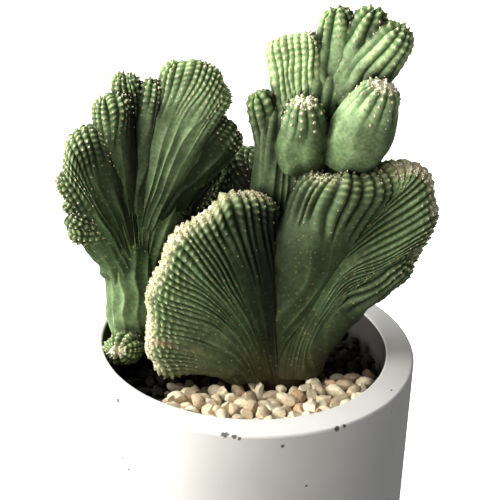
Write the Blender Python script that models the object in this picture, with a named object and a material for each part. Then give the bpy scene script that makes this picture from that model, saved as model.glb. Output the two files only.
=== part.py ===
"""A crested column cactus in a round cement pot, with gravel on its soil.

Metres, +Z up. The origin is at the middle of the pot's flat underside, and the front faces -Y.
"""

from __future__ import annotations

import math
import random
from collections.abc import Callable, Sequence
from dataclasses import dataclass

import bmesh
import bpy
import numpy as np
from mathutils import Vector, noise
from mathutils.bvhtree import BVHTree

MM = 0.001
GAP = 0.3 * MM

# Pot: a thick cast cylinder whose hole was cast a little off its centre.
POT_RADIUS = 60 * MM
POT_HEIGHT = 110 * MM
POT_EDGE = 0.8 * MM
POT_FLOOR = 9 * MM
HOLE_RADIUS = 51.3 * MM
HOLE_TAPER = 1.8 * MM
HOLE_SHIFT = Vector((-1.3 * MM, 2.5 * MM, 0))
POT_SIDES = 56
FILLING_SIDES = 40

# Filling: soil, then a bed of gravel.
GRAVEL_BOTTOM = 93 * MM
GRAVEL_LOW = 98 * MM
GRAVEL_RISE = 3.6 * MM
GRAVEL_LEAST = 2 * MM
GRAVEL_SKIRT = 4 * MM
GRAVEL_CLEAR = 1.2 * MM
STONE_PITCH = 8.4 * MM
STONE_TOP = 0.62
STONE_STRAY = 0.26 * STONE_PITCH
STONE_TILT = 0.12
STONE_RISES = (0.7, 1.0)
STONE_SEED = 4

# Stems: the plain elliptical root plugs that stand in the soil.
ROOT_BOTTOM = 74 * MM
ROOT_TOP = 105 * MM
ROOT_SIDES = 24

# Flesh: how far the whole surface wanders, and over what distance.
WANDER = 1.3 * MM
WANDER_LENGTH = 24 * MM
WANDER_SEED = 3

# Ribs: the part of their depth that stands proud, where they start above the foot, and how much
# every other ring of them swells into tubercles.
RIDGE_SHARE = 0.4
RIBS_START = 0.12
RIBS_FULL = 0.5
TUBERCLE = 0.35
DOME_ANGLES = (35, 65, 90)
CAP_SPREAD = 0.35
WELD = 0.02 * MM

Point = tuple[float, float, float]


@dataclass(frozen=True)
class Lobe:
    """One fan, finger or barrel of the plant, in millimetres.

    The flesh rises from a short straight foot to the crest line, which is the centre line of the
    rounded upper edge.
    """

    line: Sequence[Point]
    foot: Point
    foot_half: float
    rise: Point
    thickness: Point
    ribs: int
    rib_depth: float
    rows: int


@dataclass(frozen=True)
class Root:
    """An elliptical root plug, in millimetres: its centre and its half lengths along X and Y."""

    centre: tuple[float, float]
    halves: tuple[float, float]


MAIN_ROOT = Root(centre=(8, 1), halves=(15, 10))
LEFT_ROOT = Root(centre=(-40.5, 8), halves=(6, 6))

UP = (0.0, 0.0, 0.35)

MAIN_LOBES = {
    "front_crest": Lobe(
        line=(
            (-28.1, -13, 109.8), (-29.6, -14, 122.7), (-29, -14, 134.9), (-25.1, -12, 149.2),
            (-18.6, -10, 159.2), (-10.5, -7, 167), (-2.5, -4, 168.6), (2.8, -1, 166), (4.5, 1, 157.6),
        ),
        foot=(4, -3, 102), foot_half=7, rise=(-0.1, -0.08, 0.5),
        thickness=(7, 8.5, 6.3), ribs=24, rib_depth=1.5, rows=9,
    ),
    "right_crest": Lobe(
        line=(
            (19.7, -5, 176.2), (27, -9, 179), (35.3, -6, 176.1), (43.8, -1, 179.6),
            (52, 0, 181.2), (56, -2, 173.1), (56.9, -4, 162), (53.6, -5, 154.2), (49.4, -5, 149.6),
        ),
        foot=(14, 0, 102), foot_half=6, rise=(0, 0, 0.4),
        thickness=(8, 9.5, 6.8), ribs=24, rib_depth=1.5, rows=9,
    ),
    "trunk": Lobe(
        line=((5, 10, 195), (12.4, 12, 206), (27.6, 12, 211), (37.5, 9, 207)),
        foot=(11, 6, 102), foot_half=7, rise=UP,
        thickness=(8, 8.5, 7), ribs=11, rib_depth=1.4, rows=9,
    ),
    "block_lobe": Lobe(
        line=((3.9, 8, 218.8), (8.1, 10, 222), (14.5, 12, 223)),
        foot=(15, 11, 186), foot_half=4, rise=UP,
        thickness=(6, 5.5, 4.5), ribs=6, rib_depth=1.2, rows=6,
    ),
    "left_finger": Lobe(
        line=((-1.3, 8, 202.6), (0.6, 9, 202.4)),
        foot=(8, 10, 172), foot_half=2, rise=(-0.05, 0, 0.35),
        thickness=(4.5, 4.5, 4), ribs=4, rib_depth=0.8, rows=5,
    ),
    "top_finger_left": Lobe(
        line=((22.6, 12, 232.4), (24.4, 12, 232.5)),
        foot=(24, 12, 203), foot_half=2, rise=UP,
        thickness=(5.5, 6, 5.1), ribs=4, rib_depth=1.2, rows=6,
    ),
    "top_finger_middle": Lobe(
        line=((33.6, 10, 233.9), (35.4, 10, 233.6)),
        foot=(27, 12, 203), foot_half=2, rise=UP,
        thickness=(5.5, 6, 5.1), ribs=4, rib_depth=1.2, rows=6,
    ),
    "top_finger_right": Lobe(
        line=((42.3, 6, 230.4), (44.2, 6, 228.8)),
        foot=(29, 9, 202), foot_half=2, rise=(0.1, 0, 0.3),
        thickness=(5.5, 6.4, 5.4), ribs=4, rib_depth=1.2, rows=6,
    ),
    "right_barrel": Lobe(
        line=((37.2, -4, 207.6), (39.8, -4, 207)),
        foot=(30, 4, 181), foot_half=2, rise=(0.05, -0.1, 0.4),
        thickness=(7, 10.6, 6.4), ribs=5, rib_depth=1.5, rows=7,
    ),
    "left_barrel": Lobe(
        line=((13.5, -2, 199.8), (15.5, -2, 199.8)),
        foot=(15.5, 5, 178), foot_half=1.5, rise=(0, -0.1, 0.4),
        thickness=(5.5, 8, 5.3), ribs=5, rib_depth=1.2, rows=6,
    ),
    "far_left_lobe": Lobe(
        line=((-10.4, 21, 167.5), (-8.6, 21, 172.3), (-4, 20, 174.4), (0, 18, 173)),
        foot=(7, 14, 136), foot_half=3, rise=UP,
        thickness=(6, 6, 5), ribs=6, rib_depth=0.9, rows=6,
    ),
    "far_low_lobe": Lobe(
        line=((-14.2, 23, 160), (-12.6, 23, 164.6)),
        foot=(4, 13, 130), foot_half=3, rise=UP,
        thickness=(6, 5.4, 4.3), ribs=4, rib_depth=0.9, rows=5,
    ),
    "back_crest": Lobe(
        line=((1, 27, 152), (6, 30, 164), (16, 30, 168), (27, 27, 163), (33, 23, 152)),
        foot=(12, 8, 106), foot_half=5, rise=(0, 0.15, 0.3),
        thickness=(7, 7.5, 6), ribs=9, rib_depth=1.2, rows=6,
    ),
}

LEFT_LOBES = {
    "stem": Lobe(
        line=((-45.5, 6, 146), (-42.5, 7, 146)),
        foot=(-40.5, 8, 102), foot_half=1, rise=(-0.03, 0, 0.35),
        thickness=(4.6, 9, 9.6), ribs=6, rib_depth=1.7, rows=6,
    ),
    "palm": Lobe(
        line=((-58, 0, 154), (-56, 2, 167), (-46, 6, 176), (-34, 9, 178), (-22, 11, 172)),
        foot=(-43, 7, 127), foot_half=3, rise=(0, 0, 0.4),
        thickness=(5, 7.5, 5.6), ribs=10, rib_depth=1.4, rows=5,
    ),
    "low_crest": Lobe(
        line=((-61, -2, 159), (-61.4, -2, 156), (-59.5, -2, 153.2)),
        foot=(-46, 3, 145), foot_half=2, rise=(-0.1, 0, 0.3),
        thickness=(4, 4.6, 4.4), ribs=5, rib_depth=0.9, rows=5,
    ),
    "side_bud": Lobe(
        line=((-63.6, -1, 164.8), (-62.8, -1, 163.6)),
        foot=(-50, 3, 154), foot_half=1.5, rise=(-0.1, 0, 0.3),
        thickness=(3.2, 3.2, 3.1), ribs=4, rib_depth=0.6, rows=4,
    ),
    "side_crest": Lobe(
        line=(
            (-63.6, -1, 172), (-64.2, -1, 180), (-60.7, 0, 185.4), (-56, 1, 187), (-53.4, 2, 183),
        ),
        foot=(-45.5, 4, 143), foot_half=2.5, rise=(-0.1, -0.03, 0.35),
        thickness=(5, 6.6, 5), ribs=9, rib_depth=1.1, rows=7,
    ),
    "tall_lobe": Lobe(
        line=((-53.9, 2, 198.4), (-49.8, 3, 200)),
        foot=(-43.5, 4, 145), foot_half=2, rise=(-0.04, -0.03, 0.4),
        thickness=(4.5, 6.2, 4.9), ribs=5, rib_depth=1, rows=8,
    ),
    "back_lobe": Lobe(
        line=((-48.4, 8, 206.2), (-46.8, 8, 206.2)),
        foot=(-43, 8, 166), foot_half=1.5, rise=UP,
        thickness=(5, 5, 4.4), ribs=4, rib_depth=0.9, rows=5,
    ),
    "thin_finger": Lobe(
        line=((-38.9, 6, 206.8), (-37.7, 6, 206.8)),
        foot=(-41.5, 4, 156), foot_half=1.5, rise=(0, -0.02, 0.35),
        thickness=(4, 4.2, 3.3), ribs=3, rib_depth=0.8, rows=6,
    ),
    "top_crest": Lobe(
        line=((-30.9, 6, 211.8), (-24.9, 7, 212.7), (-18, 8, 209.1), (-15.4, 9, 203.6)),
        foot=(-40, 4, 148), foot_half=3, rise=(0.06, -0.02, 0.38),
        thickness=(4.5, 6.2, 4.9), ribs=8, rib_depth=1.2, rows=8,
    ),
    "right_lobe": Lobe(
        line=((-14.6, 9, 191.6), (-11.4, 9, 190), (-11.4, 9, 187)),
        foot=(-36.5, 6, 152), foot_half=2.5, rise=(0.1, 0, 0.3),
        thickness=(5, 5.6, 4.5), ribs=5, rib_depth=0.9, rows=6,
    ),
    "low_right_lobe": Lobe(
        line=((-18, 11, 175), (-17, 11, 170.5), (-19.5, 11, 164)),
        foot=(-37, 8, 142), foot_half=3, rise=(0.1, 0, 0.3),
        thickness=(5, 5.4, 4.4), ribs=5, rib_depth=0.9, rows=5,
    ),
    "rear_crest": Lobe(
        line=((-55, 17, 158), (-50, 21, 170), (-40, 23, 174), (-30, 21, 166)),
        foot=(-42, 9, 124), foot_half=3, rise=(0, 0.1, 0.3),
        thickness=(6, 6.4, 5), ribs=7, rib_depth=1.0, rows=5,
    ),
    "soil_bud": Lobe(
        line=((-45.8, -6, 109), (-44.4, -6, 109)),
        foot=(-41.5, 6, 106), foot_half=1, rise=(-0.1, -0.4, 0),
        thickness=(4, 5.4, 5.2), ribs=5, rib_depth=0.8, rows=4,
    ),
}


def clear_scene() -> None:
    """Remove every object that is already in the scene."""
    for thing in list(bpy.data.objects):
        bpy.data.objects.remove(thing, do_unlink=True)


def material(name: str, colour: Point, roughness: float) -> bpy.types.Material:
    """Make a plain material.

    Args:
        name: The material's name.
        colour: Its linear base colour.
        roughness: Its roughness.

    Returns:
        The material.
    """
    made = bpy.data.materials.new(name)
    made.use_nodes = True
    shader = made.node_tree.nodes["Principled BSDF"]
    shader.inputs["Base Color"].default_value = (*colour, 1)
    shader.inputs["Roughness"].default_value = roughness
    shader.inputs["Metallic"].default_value = 0
    return made


def finished(bm: bmesh.types.BMesh, name: str) -> bpy.types.Object:
    """Turn a closed bmesh into an object in the scene.

    Args:
        bm: The shape, which is freed.
        name: The object's name.

    Returns:
        The new object, smooth except at its sharp edges.
    """
    bmesh.ops.recalc_face_normals(bm, faces=bm.faces)
    mesh = bpy.data.meshes.new(name)
    bm.to_mesh(mesh)
    bm.free()
    mesh.shade_smooth()
    mesh.set_sharp_from_angle(angle=math.radians(40))
    thing = bpy.data.objects.new(name, mesh)
    bpy.context.scene.collection.objects.link(thing)
    return thing


def add_ring(bm: bmesh.types.BMesh, points: Sequence[Sequence[float]]) -> list[bmesh.types.BMVert]:
    """Add one closed ring of vertices."""
    return [bm.verts.new(point) for point in points]


def join_rings(
    bm: bmesh.types.BMesh, rings: Sequence[list[bmesh.types.BMVert]], lid: bool = True
) -> None:
    """Put a strip of faces between each ring and the next, and close the ends.

    Args:
        bm: The bmesh that holds the rings.
        rings: The rings, from the bottom to the top.
        lid: Whether the last ring gets a face too.
    """
    for lower, upper in zip(rings, rings[1:]):
        for i, vert in enumerate(lower):
            j = (i + 1) % len(lower)
            bm.faces.new((vert, lower[j], upper[j], upper[i]))
    bm.faces.new(reversed(rings[0]))
    if lid:
        bm.faces.new(rings[-1])


def circle(centre: Vector, radius: float, height: float, sides: int) -> list[Point]:
    """The points of a level circle.

    Args:
        centre: Its centre, of which only X and Y are used.
        radius: Its radius.
        height: Its height.
        sides: How many points it has.

    Returns:
        The points, anticlockwise from above.
    """
    turns = [math.tau * i / sides for i in range(sides)]
    return [
        (centre.x + radius * math.cos(turn), centre.y + radius * math.sin(turn), height)
        for turn in turns
    ]


def hole_radius(height: float) -> float:
    """The radius of the pot's hole at a height."""
    return HOLE_RADIUS - HOLE_TAPER * (POT_HEIGHT - height) / (POT_HEIGHT - POT_FLOOR)


def make_pot() -> bpy.types.Object:
    """Build the pot as one turned shape whose inner rings stand off centre."""
    middle = Vector((0, 0, 0))
    profile = (
        (middle, POT_RADIUS - POT_EDGE, 0),
        (middle, POT_RADIUS, POT_EDGE),
        (middle, POT_RADIUS, POT_HEIGHT - POT_EDGE),
        (middle, POT_RADIUS - POT_EDGE, POT_HEIGHT),
        (HOLE_SHIFT, HOLE_RADIUS + POT_EDGE, POT_HEIGHT),
        (HOLE_SHIFT, HOLE_RADIUS, POT_HEIGHT - POT_EDGE),
        (HOLE_SHIFT, hole_radius(POT_FLOOR), POT_FLOOR),
    )
    bm = bmesh.new()
    rings = [add_ring(bm, circle(*step, POT_SIDES)) for step in profile]
    join_rings(bm, rings)
    return finished(bm, "pot")


def make_plug(name: str, root: Root, bottom: float, top: float, grown: float) -> bpy.types.Object:
    """Build a plain elliptical column.

    Args:
        name: The object's name.
        root: The ellipse.
        bottom: The height of its lower end.
        top: The height of its upper end.
        grown: How much wider than the ellipse it is on every side.

    Returns:
        The column.
    """
    bm = bmesh.new()
    rings = []
    for height in (bottom, top):
        points = []
        for i in range(ROOT_SIDES):
            turn = math.tau * i / ROOT_SIDES
            x = root.centre[0] * MM + (root.halves[0] * MM + grown) * math.cos(turn)
            y = root.centre[1] * MM + (root.halves[1] * MM + grown) * math.sin(turn)
            points.append((x, y, height))
        rings.append(add_ring(bm, points))
    join_rings(bm, rings)
    return finished(bm, name)


def unit(vectors: np.ndarray) -> np.ndarray:
    """Scale each row to length 1."""
    return vectors / np.linalg.norm(vectors, axis=-1, keepdims=True)


def along(points: Sequence[Point], shares: np.ndarray) -> np.ndarray:
    """Read a smooth curve through some points.

    Args:
        points: The points, in order.
        shares: Where to read it, from 0 at its start to 1 at its end, by length.

    Returns:
        One point for each share.
    """
    given = np.array(points, float)
    if len(given) == 2:
        return given[0] + shares[:, None] * (given[1] - given[0])
    padded = np.vstack([2 * given[0] - given[1], given, 2 * given[-1] - given[-2]])
    step = np.linspace(0, 1, 12, endpoint=False)[:, None]
    dense = []
    for a, b, c, d in zip(padded, padded[1:], padded[2:], padded[3:]):
        bend = (2 * a - 5 * b + 4 * c - d) * step**2 + (3 * (b - c) + d - a) * step**3
        dense.append(0.5 * (2 * b + (c - a) * step + bend))
    dense.append(given[-1:])
    curve = np.vstack(dense)
    lengths = np.concatenate([[0], np.cumsum(np.linalg.norm(np.diff(curve, axis=0), axis=1))])
    reading = shares * lengths[-1]
    return np.stack([np.interp(reading, lengths, curve[:, axis]) for axis in range(3)], axis=1)


class LobeShape:
    """The surface of one lobe, read at any place across it and any share of its height."""

    def __init__(self, lobe: Lobe) -> None:
        """Work out what does not change from ring to ring.

        Args:
            lobe: The lobe's sizes.
        """
        self.lobe = lobe
        ends = along(lobe.line, np.array([0.0, 1.0]))
        chord = ends[1] - ends[0]
        chord[2] = 0
        self.foot_way = unit(chord[None])[0]

    def true_cap_share(self, height: float) -> float:
        """The part of half the ring's length, at a height, that each rounded end has."""
        line = self.sheet(np.linspace(0, 1, 40), height)
        length = float(np.linalg.norm(np.diff(line, axis=0), axis=1).sum())
        half_round = math.pi * self.half_thickness(height)
        return 0.5 * half_round / (length + half_round)

    def cap_share(self, height: float) -> float:
        """The part of the ribs, at a height, that run down each rounded end."""
        crest = self.true_cap_share(1)
        return crest + CAP_SPREAD * (self.true_cap_share(height) - crest)

    def sheet(self, across: np.ndarray, height: float) -> np.ndarray:
        """Points of the middle sheet, from the foot at height 0 to the crest line at height 1."""
        lobe = self.lobe
        offset = (2 * across - 1) * lobe.foot_half
        foot = np.array(lobe.foot) + offset[:, None] * self.foot_way
        crest = along(lobe.line, across)
        reach = np.linalg.norm(crest - foot, axis=1, keepdims=True)
        knee = foot + np.array(lobe.rise) * reach
        return (1 - height) ** 2 * foot + 2 * height * (1 - height) * knee + height**2 * crest

    def half_thickness(self, height: float) -> float:
        """Half of the thickness at a height, on a smooth curve through its three values."""
        foot, middle, crest = self.lobe.thickness
        return (
            foot * (1 - height) * (1 - 2 * height)
            + 4 * middle * height * (1 - height)
            + crest * height * (2 * height - 1)
        )

    def ring(self, height: float, dome: float, swell: float) -> np.ndarray:
        """One ring of the ribbed skin.

        Args:
            height: The share of the way from the foot to the crest line.
            dome: The angle over the crest's rounded edge, in degrees.
            swell: How far the ridges swell out there, in millimetres.

        Returns:
            The ring's points, which mirror each other from face to face.
        """
        lobe = self.lobe
        count = 4 * lobe.ribs
        index = np.arange(count)
        half = count // 2
        way_round = np.where(index <= half, index, count - index) / half
        face = np.where(index <= half, 1.0, -1.0)
        cap = self.cap_share(height)
        across = np.clip((way_round - cap) / (1 - 2 * cap), 0, 1)
        turn = np.clip(np.minimum(way_round, 1 - way_round) / cap, 0, 1) * math.pi / 2
        side = np.where(way_round < 0.5, -1.0, 1.0)

        step = 0.02
        before = self.sheet(np.clip(across - step, 0, 1), height)
        after = self.sheet(np.clip(across + step, 0, 1), height)
        below = self.sheet(across, max(height - step, 0))
        above = self.sheet(across, min(height + step, 1))
        growth = unit(above - below)
        normal = unit(np.cross(after - before, growth))
        sideways = unit(np.cross(growth, normal))
        outward = (
            (side * np.cos(turn))[:, None] * sideways + (face * np.sin(turn))[:, None] * normal
        )
        lean = math.radians(dome)
        outward = math.cos(lean) * outward + math.sin(lean) * growth

        ridge = index % 2 == 0
        wave = lobe.rib_depth * np.where(ridge, RIDGE_SHARE, RIDGE_SHARE - 1) + swell * ridge
        rooted = (height - RIBS_START) / (RIBS_FULL - RIBS_START)
        fade = min(max(rooted, 0.0), 1.0) * math.cos(lean)
        reach = self.half_thickness(height) + fade * wave
        return self.sheet(across, height) + reach[:, None] * outward


def wander(point: Vector) -> Vector:
    """How far the flesh strays at a place, the same for all lobes there."""
    return noise.noise_vector(point / WANDER_LENGTH) * WANDER


def make_lobe(name: str, lobe: Lobe) -> bpy.types.Object:
    """Build one ribbed lobe as a closed solid.

    Args:
        name: The object's name.
        lobe: The lobe's sizes.

    Returns:
        The lobe.
    """
    shape = LobeShape(lobe)
    swells = [TUBERCLE * (i % 2) for i in range(lobe.rows + 1)]
    rings = [shape.ring(i / lobe.rows, 0, swell) for i, swell in enumerate(swells)]
    rings += [shape.ring(1, angle, 0) for angle in DOME_ANGLES]
    bm = bmesh.new()
    loops = [add_ring(bm, ring * MM) for ring in rings]
    join_rings(bm, loops, lid=False)
    bmesh.ops.remove_doubles(bm, verts=loops[-1], dist=WELD)
    for vert in bm.verts:
        vert.co += wander(vert.co)
    return finished(bm, name)


def boolean(
    thing: bpy.types.Object, tools: Sequence[bpy.types.Object], operation: str, solver: str
) -> None:
    """Join tools to an object or cut it with them, then remove them.

    Args:
        thing: The object that is changed.
        tools: The other objects.
        operation: UNION, DIFFERENCE or INTERSECT.
        solver: EXACT or MANIFOLD.
    """
    group = bpy.data.collections.new(f"{thing.name} tools")
    bpy.context.scene.collection.children.link(group)
    for tool in tools:
        bpy.context.scene.collection.objects.unlink(tool)
        group.objects.link(tool)
    change = thing.modifiers.new("tools", "BOOLEAN")
    change.operation = operation
    change.operand_type = "COLLECTION"
    change.collection = group
    change.solver = solver
    graph = bpy.context.evaluated_depsgraph_get()
    result = bpy.data.meshes.new_from_object(thing.evaluated_get(graph))
    thing.modifiers.clear()
    thing.data = result
    for tool in list(tools):
        bpy.data.objects.remove(tool, do_unlink=True)
    bpy.data.collections.remove(group)


def keep_outer_skin(thing: bpy.types.Object) -> None:
    """Drop the walls of hollows that the union sealed, and any loose scrap."""
    bm = bmesh.new()
    bm.from_mesh(thing.data)
    bmesh.ops.triangulate(bm, faces=bm.faces)
    left = set(bm.faces)
    skins = []
    while left:
        start = left.pop()
        skin, to_visit = [start], [start]
        while to_visit:
            for edge in to_visit.pop().edges:
                for face in edge.link_faces:
                    if face in left and len(edge.link_faces) == 2:
                        left.remove(face)
                        skin.append(face)
                        to_visit.append(face)
        skins.append(skin)
    skins.sort(key=len)
    for skin in skins[:-1]:
        bmesh.ops.delete(bm, geom=skin, context="FACES")
    bm.to_mesh(thing.data)
    bm.free()


def make_plant(name: str, root: Root, lobes: dict[str, Lobe]) -> bpy.types.Object:
    """Grow one stem's lobes together with its root plug.

    Args:
        name: The object's name.
        root: Its root plug.
        lobes: Its lobes, by name.

    Returns:
        The plant as one solid.
    """
    plant = make_plug(name, root, ROOT_BOTTOM, ROOT_TOP, 0)
    parts = [make_lobe(f"{name} {part}", lobe) for part, lobe in lobes.items()]
    boolean(plant, parts, "UNION", "MANIFOLD")
    keep_outer_skin(plant)
    return plant


def cut_root_holes(thing: bpy.types.Object) -> None:
    """Cut the plain holes that the two stems stand in."""
    holes = [
        make_plug(f"{thing.name} hole {i}", root, ROOT_BOTTOM - GAP, POT_HEIGHT, GAP)
        for i, root in enumerate((MAIN_ROOT, LEFT_ROOT))
    ]
    boolean(thing, holes, "DIFFERENCE", "EXACT")


def make_soil() -> bpy.types.Object:
    """Build the soil, from the pot's floor to the gravel."""
    bottom, top = POT_FLOOR + GAP, GRAVEL_BOTTOM - GAP
    bm = bmesh.new()
    rings = [
        add_ring(bm, circle(HOLE_SHIFT, hole_radius(height) - GAP, height, FILLING_SIDES))
        for height in (bottom, top)
    ]
    join_rings(bm, rings)
    soil = finished(bm, "soil")
    cut_root_holes(soil)
    return soil


def stone_centres() -> dict[tuple[int, int], Vector]:
    """Where the stones lie: a honeycomb with each place shifted by a seeded draw."""
    draw = random.Random(STONE_SEED)
    reach = math.ceil(HOLE_RADIUS / STONE_PITCH) + 3
    centres = {}
    for row in range(-reach, reach + 1):
        for column in range(-reach, reach + 1):
            x = (column + 0.5 * (row % 2)) * STONE_PITCH
            y = row * STONE_PITCH * math.sqrt(3) / 2
            shift = Vector((draw.uniform(-1, 1), draw.uniform(-1, 1), 0)) * STONE_STRAY
            centres[row, column] = Vector((x, y, 0)) + HOLE_SHIFT + shift
    return centres


def stone_corners(
    centres: dict[tuple[int, int], Vector], row: int, column: int
) -> list[frozenset[tuple[int, int]]] | None:
    """The six corners of a stone's cell, each named by the three stones that meet there."""
    slant = row % 2
    around = (
        (row, column + 1), (row + 1, column + slant), (row + 1, column + slant - 1),
        (row, column - 1), (row - 1, column + slant - 1), (row - 1, column + slant),
    )
    if any(place not in centres for place in around):
        return None
    return [frozenset({(row, column), around[i], around[(i + 1) % 6]}) for i in range(6)]


def make_gravel(ceiling: Callable[[Vector], float]) -> bpy.types.Object:
    """Build the gravel: a bed whose top is raised cell by cell into stones.

    Args:
        ceiling: Gives the height that the flesh leaves free above a place.

    Returns:
        The gravel bed.
    """
    draw = random.Random(STONE_SEED)
    centres = stone_centres()
    bm = bmesh.new()
    shared: dict[frozenset[tuple[int, int]], bmesh.types.BMVert] = {}

    def add(place: Vector, rise: float) -> bmesh.types.BMVert:
        height = min(GRAVEL_LOW + rise, ceiling(place))
        return bm.verts.new((place.x, place.y, height))

    for (row, column), centre in centres.items():
        names = stone_corners(centres, row, column)
        if names is None:
            continue
        rise = GRAVEL_RISE * draw.uniform(*STONE_RISES)
        tilt = Vector((draw.uniform(-1, 1), draw.uniform(-1, 1), 0)) * STONE_TILT
        outer, inner = [], []
        for name in names:
            corner = sum((centres[place] for place in name), Vector()) / 3
            if name not in shared:
                shared[name] = add(corner, 0)
            outer.append(shared[name])
            rim = centre.lerp(corner, STONE_TOP)
            inner.append(add(rim, rise + tilt.dot(rim - centre)))
        for i in range(6):
            j = (i + 1) % 6
            bm.faces.new((outer[i], outer[j], inner[j], inner[i]))
        bm.faces.new(inner)
    edges = [edge for edge in bm.edges if edge.is_boundary]
    skirt = bmesh.ops.extrude_edge_only(bm, edges=edges)["geom"]
    low = [item for item in skirt if isinstance(item, bmesh.types.BMVert)]
    for vert in low:
        vert.co.z = GRAVEL_BOTTOM - GRAVEL_SKIRT
    bmesh.ops.contextual_create(bm, geom=[e for e in bm.edges if e.is_boundary])
    gravel = finished(bm, "gravel")

    bm = bmesh.new()
    rings = [
        add_ring(bm, circle(HOLE_SHIFT, hole_radius(height) - GAP, height, FILLING_SIDES))
        for height in (GRAVEL_BOTTOM, POT_HEIGHT)
    ]
    join_rings(bm, rings)
    boolean(gravel, [finished(bm, "gravel bounds")], "INTERSECT", "EXACT")
    cut_root_holes(gravel)
    return gravel


def clearance_under(plants: Sequence[bpy.types.Object]) -> Callable[[Vector], float]:
    """Make the function that tells how high the gravel may come below the flesh.

    Args:
        plants: The plants that stand over the gravel.

    Returns:
        A function from a place to the greatest free height there.
    """
    trees = []
    for plant in plants:
        bm = bmesh.new()
        bm.from_mesh(plant.data)
        trees.append(BVHTree.FromBMesh(bm))
        bm.free()

    def free_height(place: Vector) -> float:
        start = Vector((place.x, place.y, GRAVEL_BOTTOM + GAP))
        heights = [math.inf]
        for tree in trees:
            hit = tree.ray_cast(start, Vector((0, 0, 1)))[0]
            if hit is not None:
                heights.append(hit.z - GRAVEL_CLEAR)
        return max(min(heights), GRAVEL_BOTTOM + GRAVEL_LEAST)

    return free_height


def main() -> None:
    """Build the pot, its filling and the two stems, each with its material."""
    clear_scene()
    noise.seed_set(WANDER_SEED)
    flesh = material("flesh", (0.09, 0.19, 0.05), 0.6)
    crest_main = make_plant("crest_main", MAIN_ROOT, MAIN_LOBES)
    crest_left = make_plant("crest_left", LEFT_ROOT, LEFT_LOBES)
    gravel = make_gravel(clearance_under((crest_main, crest_left)))
    soil = make_soil()
    pot = make_pot()
    pairs = (
        (crest_main, flesh),
        (crest_left, flesh.copy()),
        (gravel, material("stone", (0.75, 0.62, 0.42), 0.85)),
        (soil, material("earth", (0.05, 0.035, 0.025), 0.95)),
        (pot, material("cement", (0.55, 0.55, 0.54), 0.8)),
    )
    for thing, finish in pairs:
        thing.data.materials.clear()
        thing.data.materials.append(finish)


if __name__ == "__main__":
    main()
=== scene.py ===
"""A crested column cactus in a round cement pot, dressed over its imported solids.

Metres, +Z up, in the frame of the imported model: the origin is at the middle of the pot's underside
and the front faces -Y. The lobes are described in millimetres.
"""

from __future__ import annotations

import logging
import math
import random
from collections.abc import Sequence
from dataclasses import dataclass, field
from enum import Enum

import bmesh
import bpy
import numpy as np
from mathutils import Matrix, Vector, noise
from mathutils.bvhtree import BVHTree

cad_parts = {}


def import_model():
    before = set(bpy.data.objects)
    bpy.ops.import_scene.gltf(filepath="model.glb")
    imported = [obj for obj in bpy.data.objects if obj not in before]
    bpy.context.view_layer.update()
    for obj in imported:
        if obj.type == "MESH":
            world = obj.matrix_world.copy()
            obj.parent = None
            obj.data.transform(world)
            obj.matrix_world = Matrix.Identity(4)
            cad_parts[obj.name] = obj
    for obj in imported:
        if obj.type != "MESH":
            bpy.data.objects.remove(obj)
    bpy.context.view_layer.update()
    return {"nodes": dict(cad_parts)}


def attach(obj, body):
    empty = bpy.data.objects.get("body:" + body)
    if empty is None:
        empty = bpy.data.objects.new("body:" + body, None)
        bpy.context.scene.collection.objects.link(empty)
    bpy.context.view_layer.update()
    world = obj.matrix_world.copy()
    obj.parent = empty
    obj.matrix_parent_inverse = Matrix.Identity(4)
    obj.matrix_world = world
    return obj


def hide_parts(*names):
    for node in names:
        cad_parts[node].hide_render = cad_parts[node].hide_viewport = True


LOG = logging.getLogger("potted_cactus")

MM = 0.001
BODY = "root"

# Flesh: how far the whole surface wanders, and over what distance.
WANDER = 1.3 * MM
WANDER_LENGTH = 24 * MM
WANDER_SEED = 3
# Lobes whose foot lies below this height grow from the soil. It is in millimetres.
SOIL_TOP = 110
# How far the pot's hole, with the gravel in it, stands off the pot's axis.
HOLE_SHIFT = Vector((-1.3 * MM, 2.5 * MM, 0))

Point = tuple[float, float, float]
Sockets = dict[str | int, bpy.types.NodeSocket]


def linear(colour: str) -> tuple[float, float, float, float]:
    """Turn an sRGB hex colour to linear.

    Args:
        colour: The colour, such as "#7f9a55".

    Returns:
        Its linear red, green and blue, and an alpha of 1.
    """
    shares = [int(colour[i : i + 2], 16) / 255 for i in (1, 3, 5)]
    red, green, blue = (
        share / 12.92 if share <= 0.04045 else ((share + 0.055) / 1.055) ** 2.4 for share in shares
    )
    return red, green, blue, 1.0


def add_node(
    tree: bpy.types.NodeTree, kind: str, settings: dict | None = None, links: Sockets | None = None
) -> bpy.types.Node:
    """Add a shader node.

    Args:
        tree: The node tree.
        kind: The node's type.
        settings: Its properties by name, and the values of its inputs by name or number.
        links: The output that feeds each linked input.

    Returns:
        The new node.
    """
    node = tree.nodes.new(kind)
    for key, value in (settings or {}).items():
        if isinstance(key, str) and hasattr(node, key):
            setattr(node, key, value)
        else:
            node.inputs[key].default_value = value
    for key, source in (links or {}).items():
        tree.links.new(source, node.inputs[key])
    return node


def start_finish(name: str) -> tuple[bpy.types.Material, bpy.types.NodeTree, bpy.types.NodeSocket]:
    """Start a material whose patterns follow the piece's own coordinates.

    Args:
        name: The material's name.

    Returns:
        The material, its node tree and the output that gives the place on the piece.
    """
    made = bpy.data.materials.new(name)
    made.use_nodes = True
    tree = made.node_tree
    return made, tree, add_node(tree, "ShaderNodeTexCoord").outputs["Object"]


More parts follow.
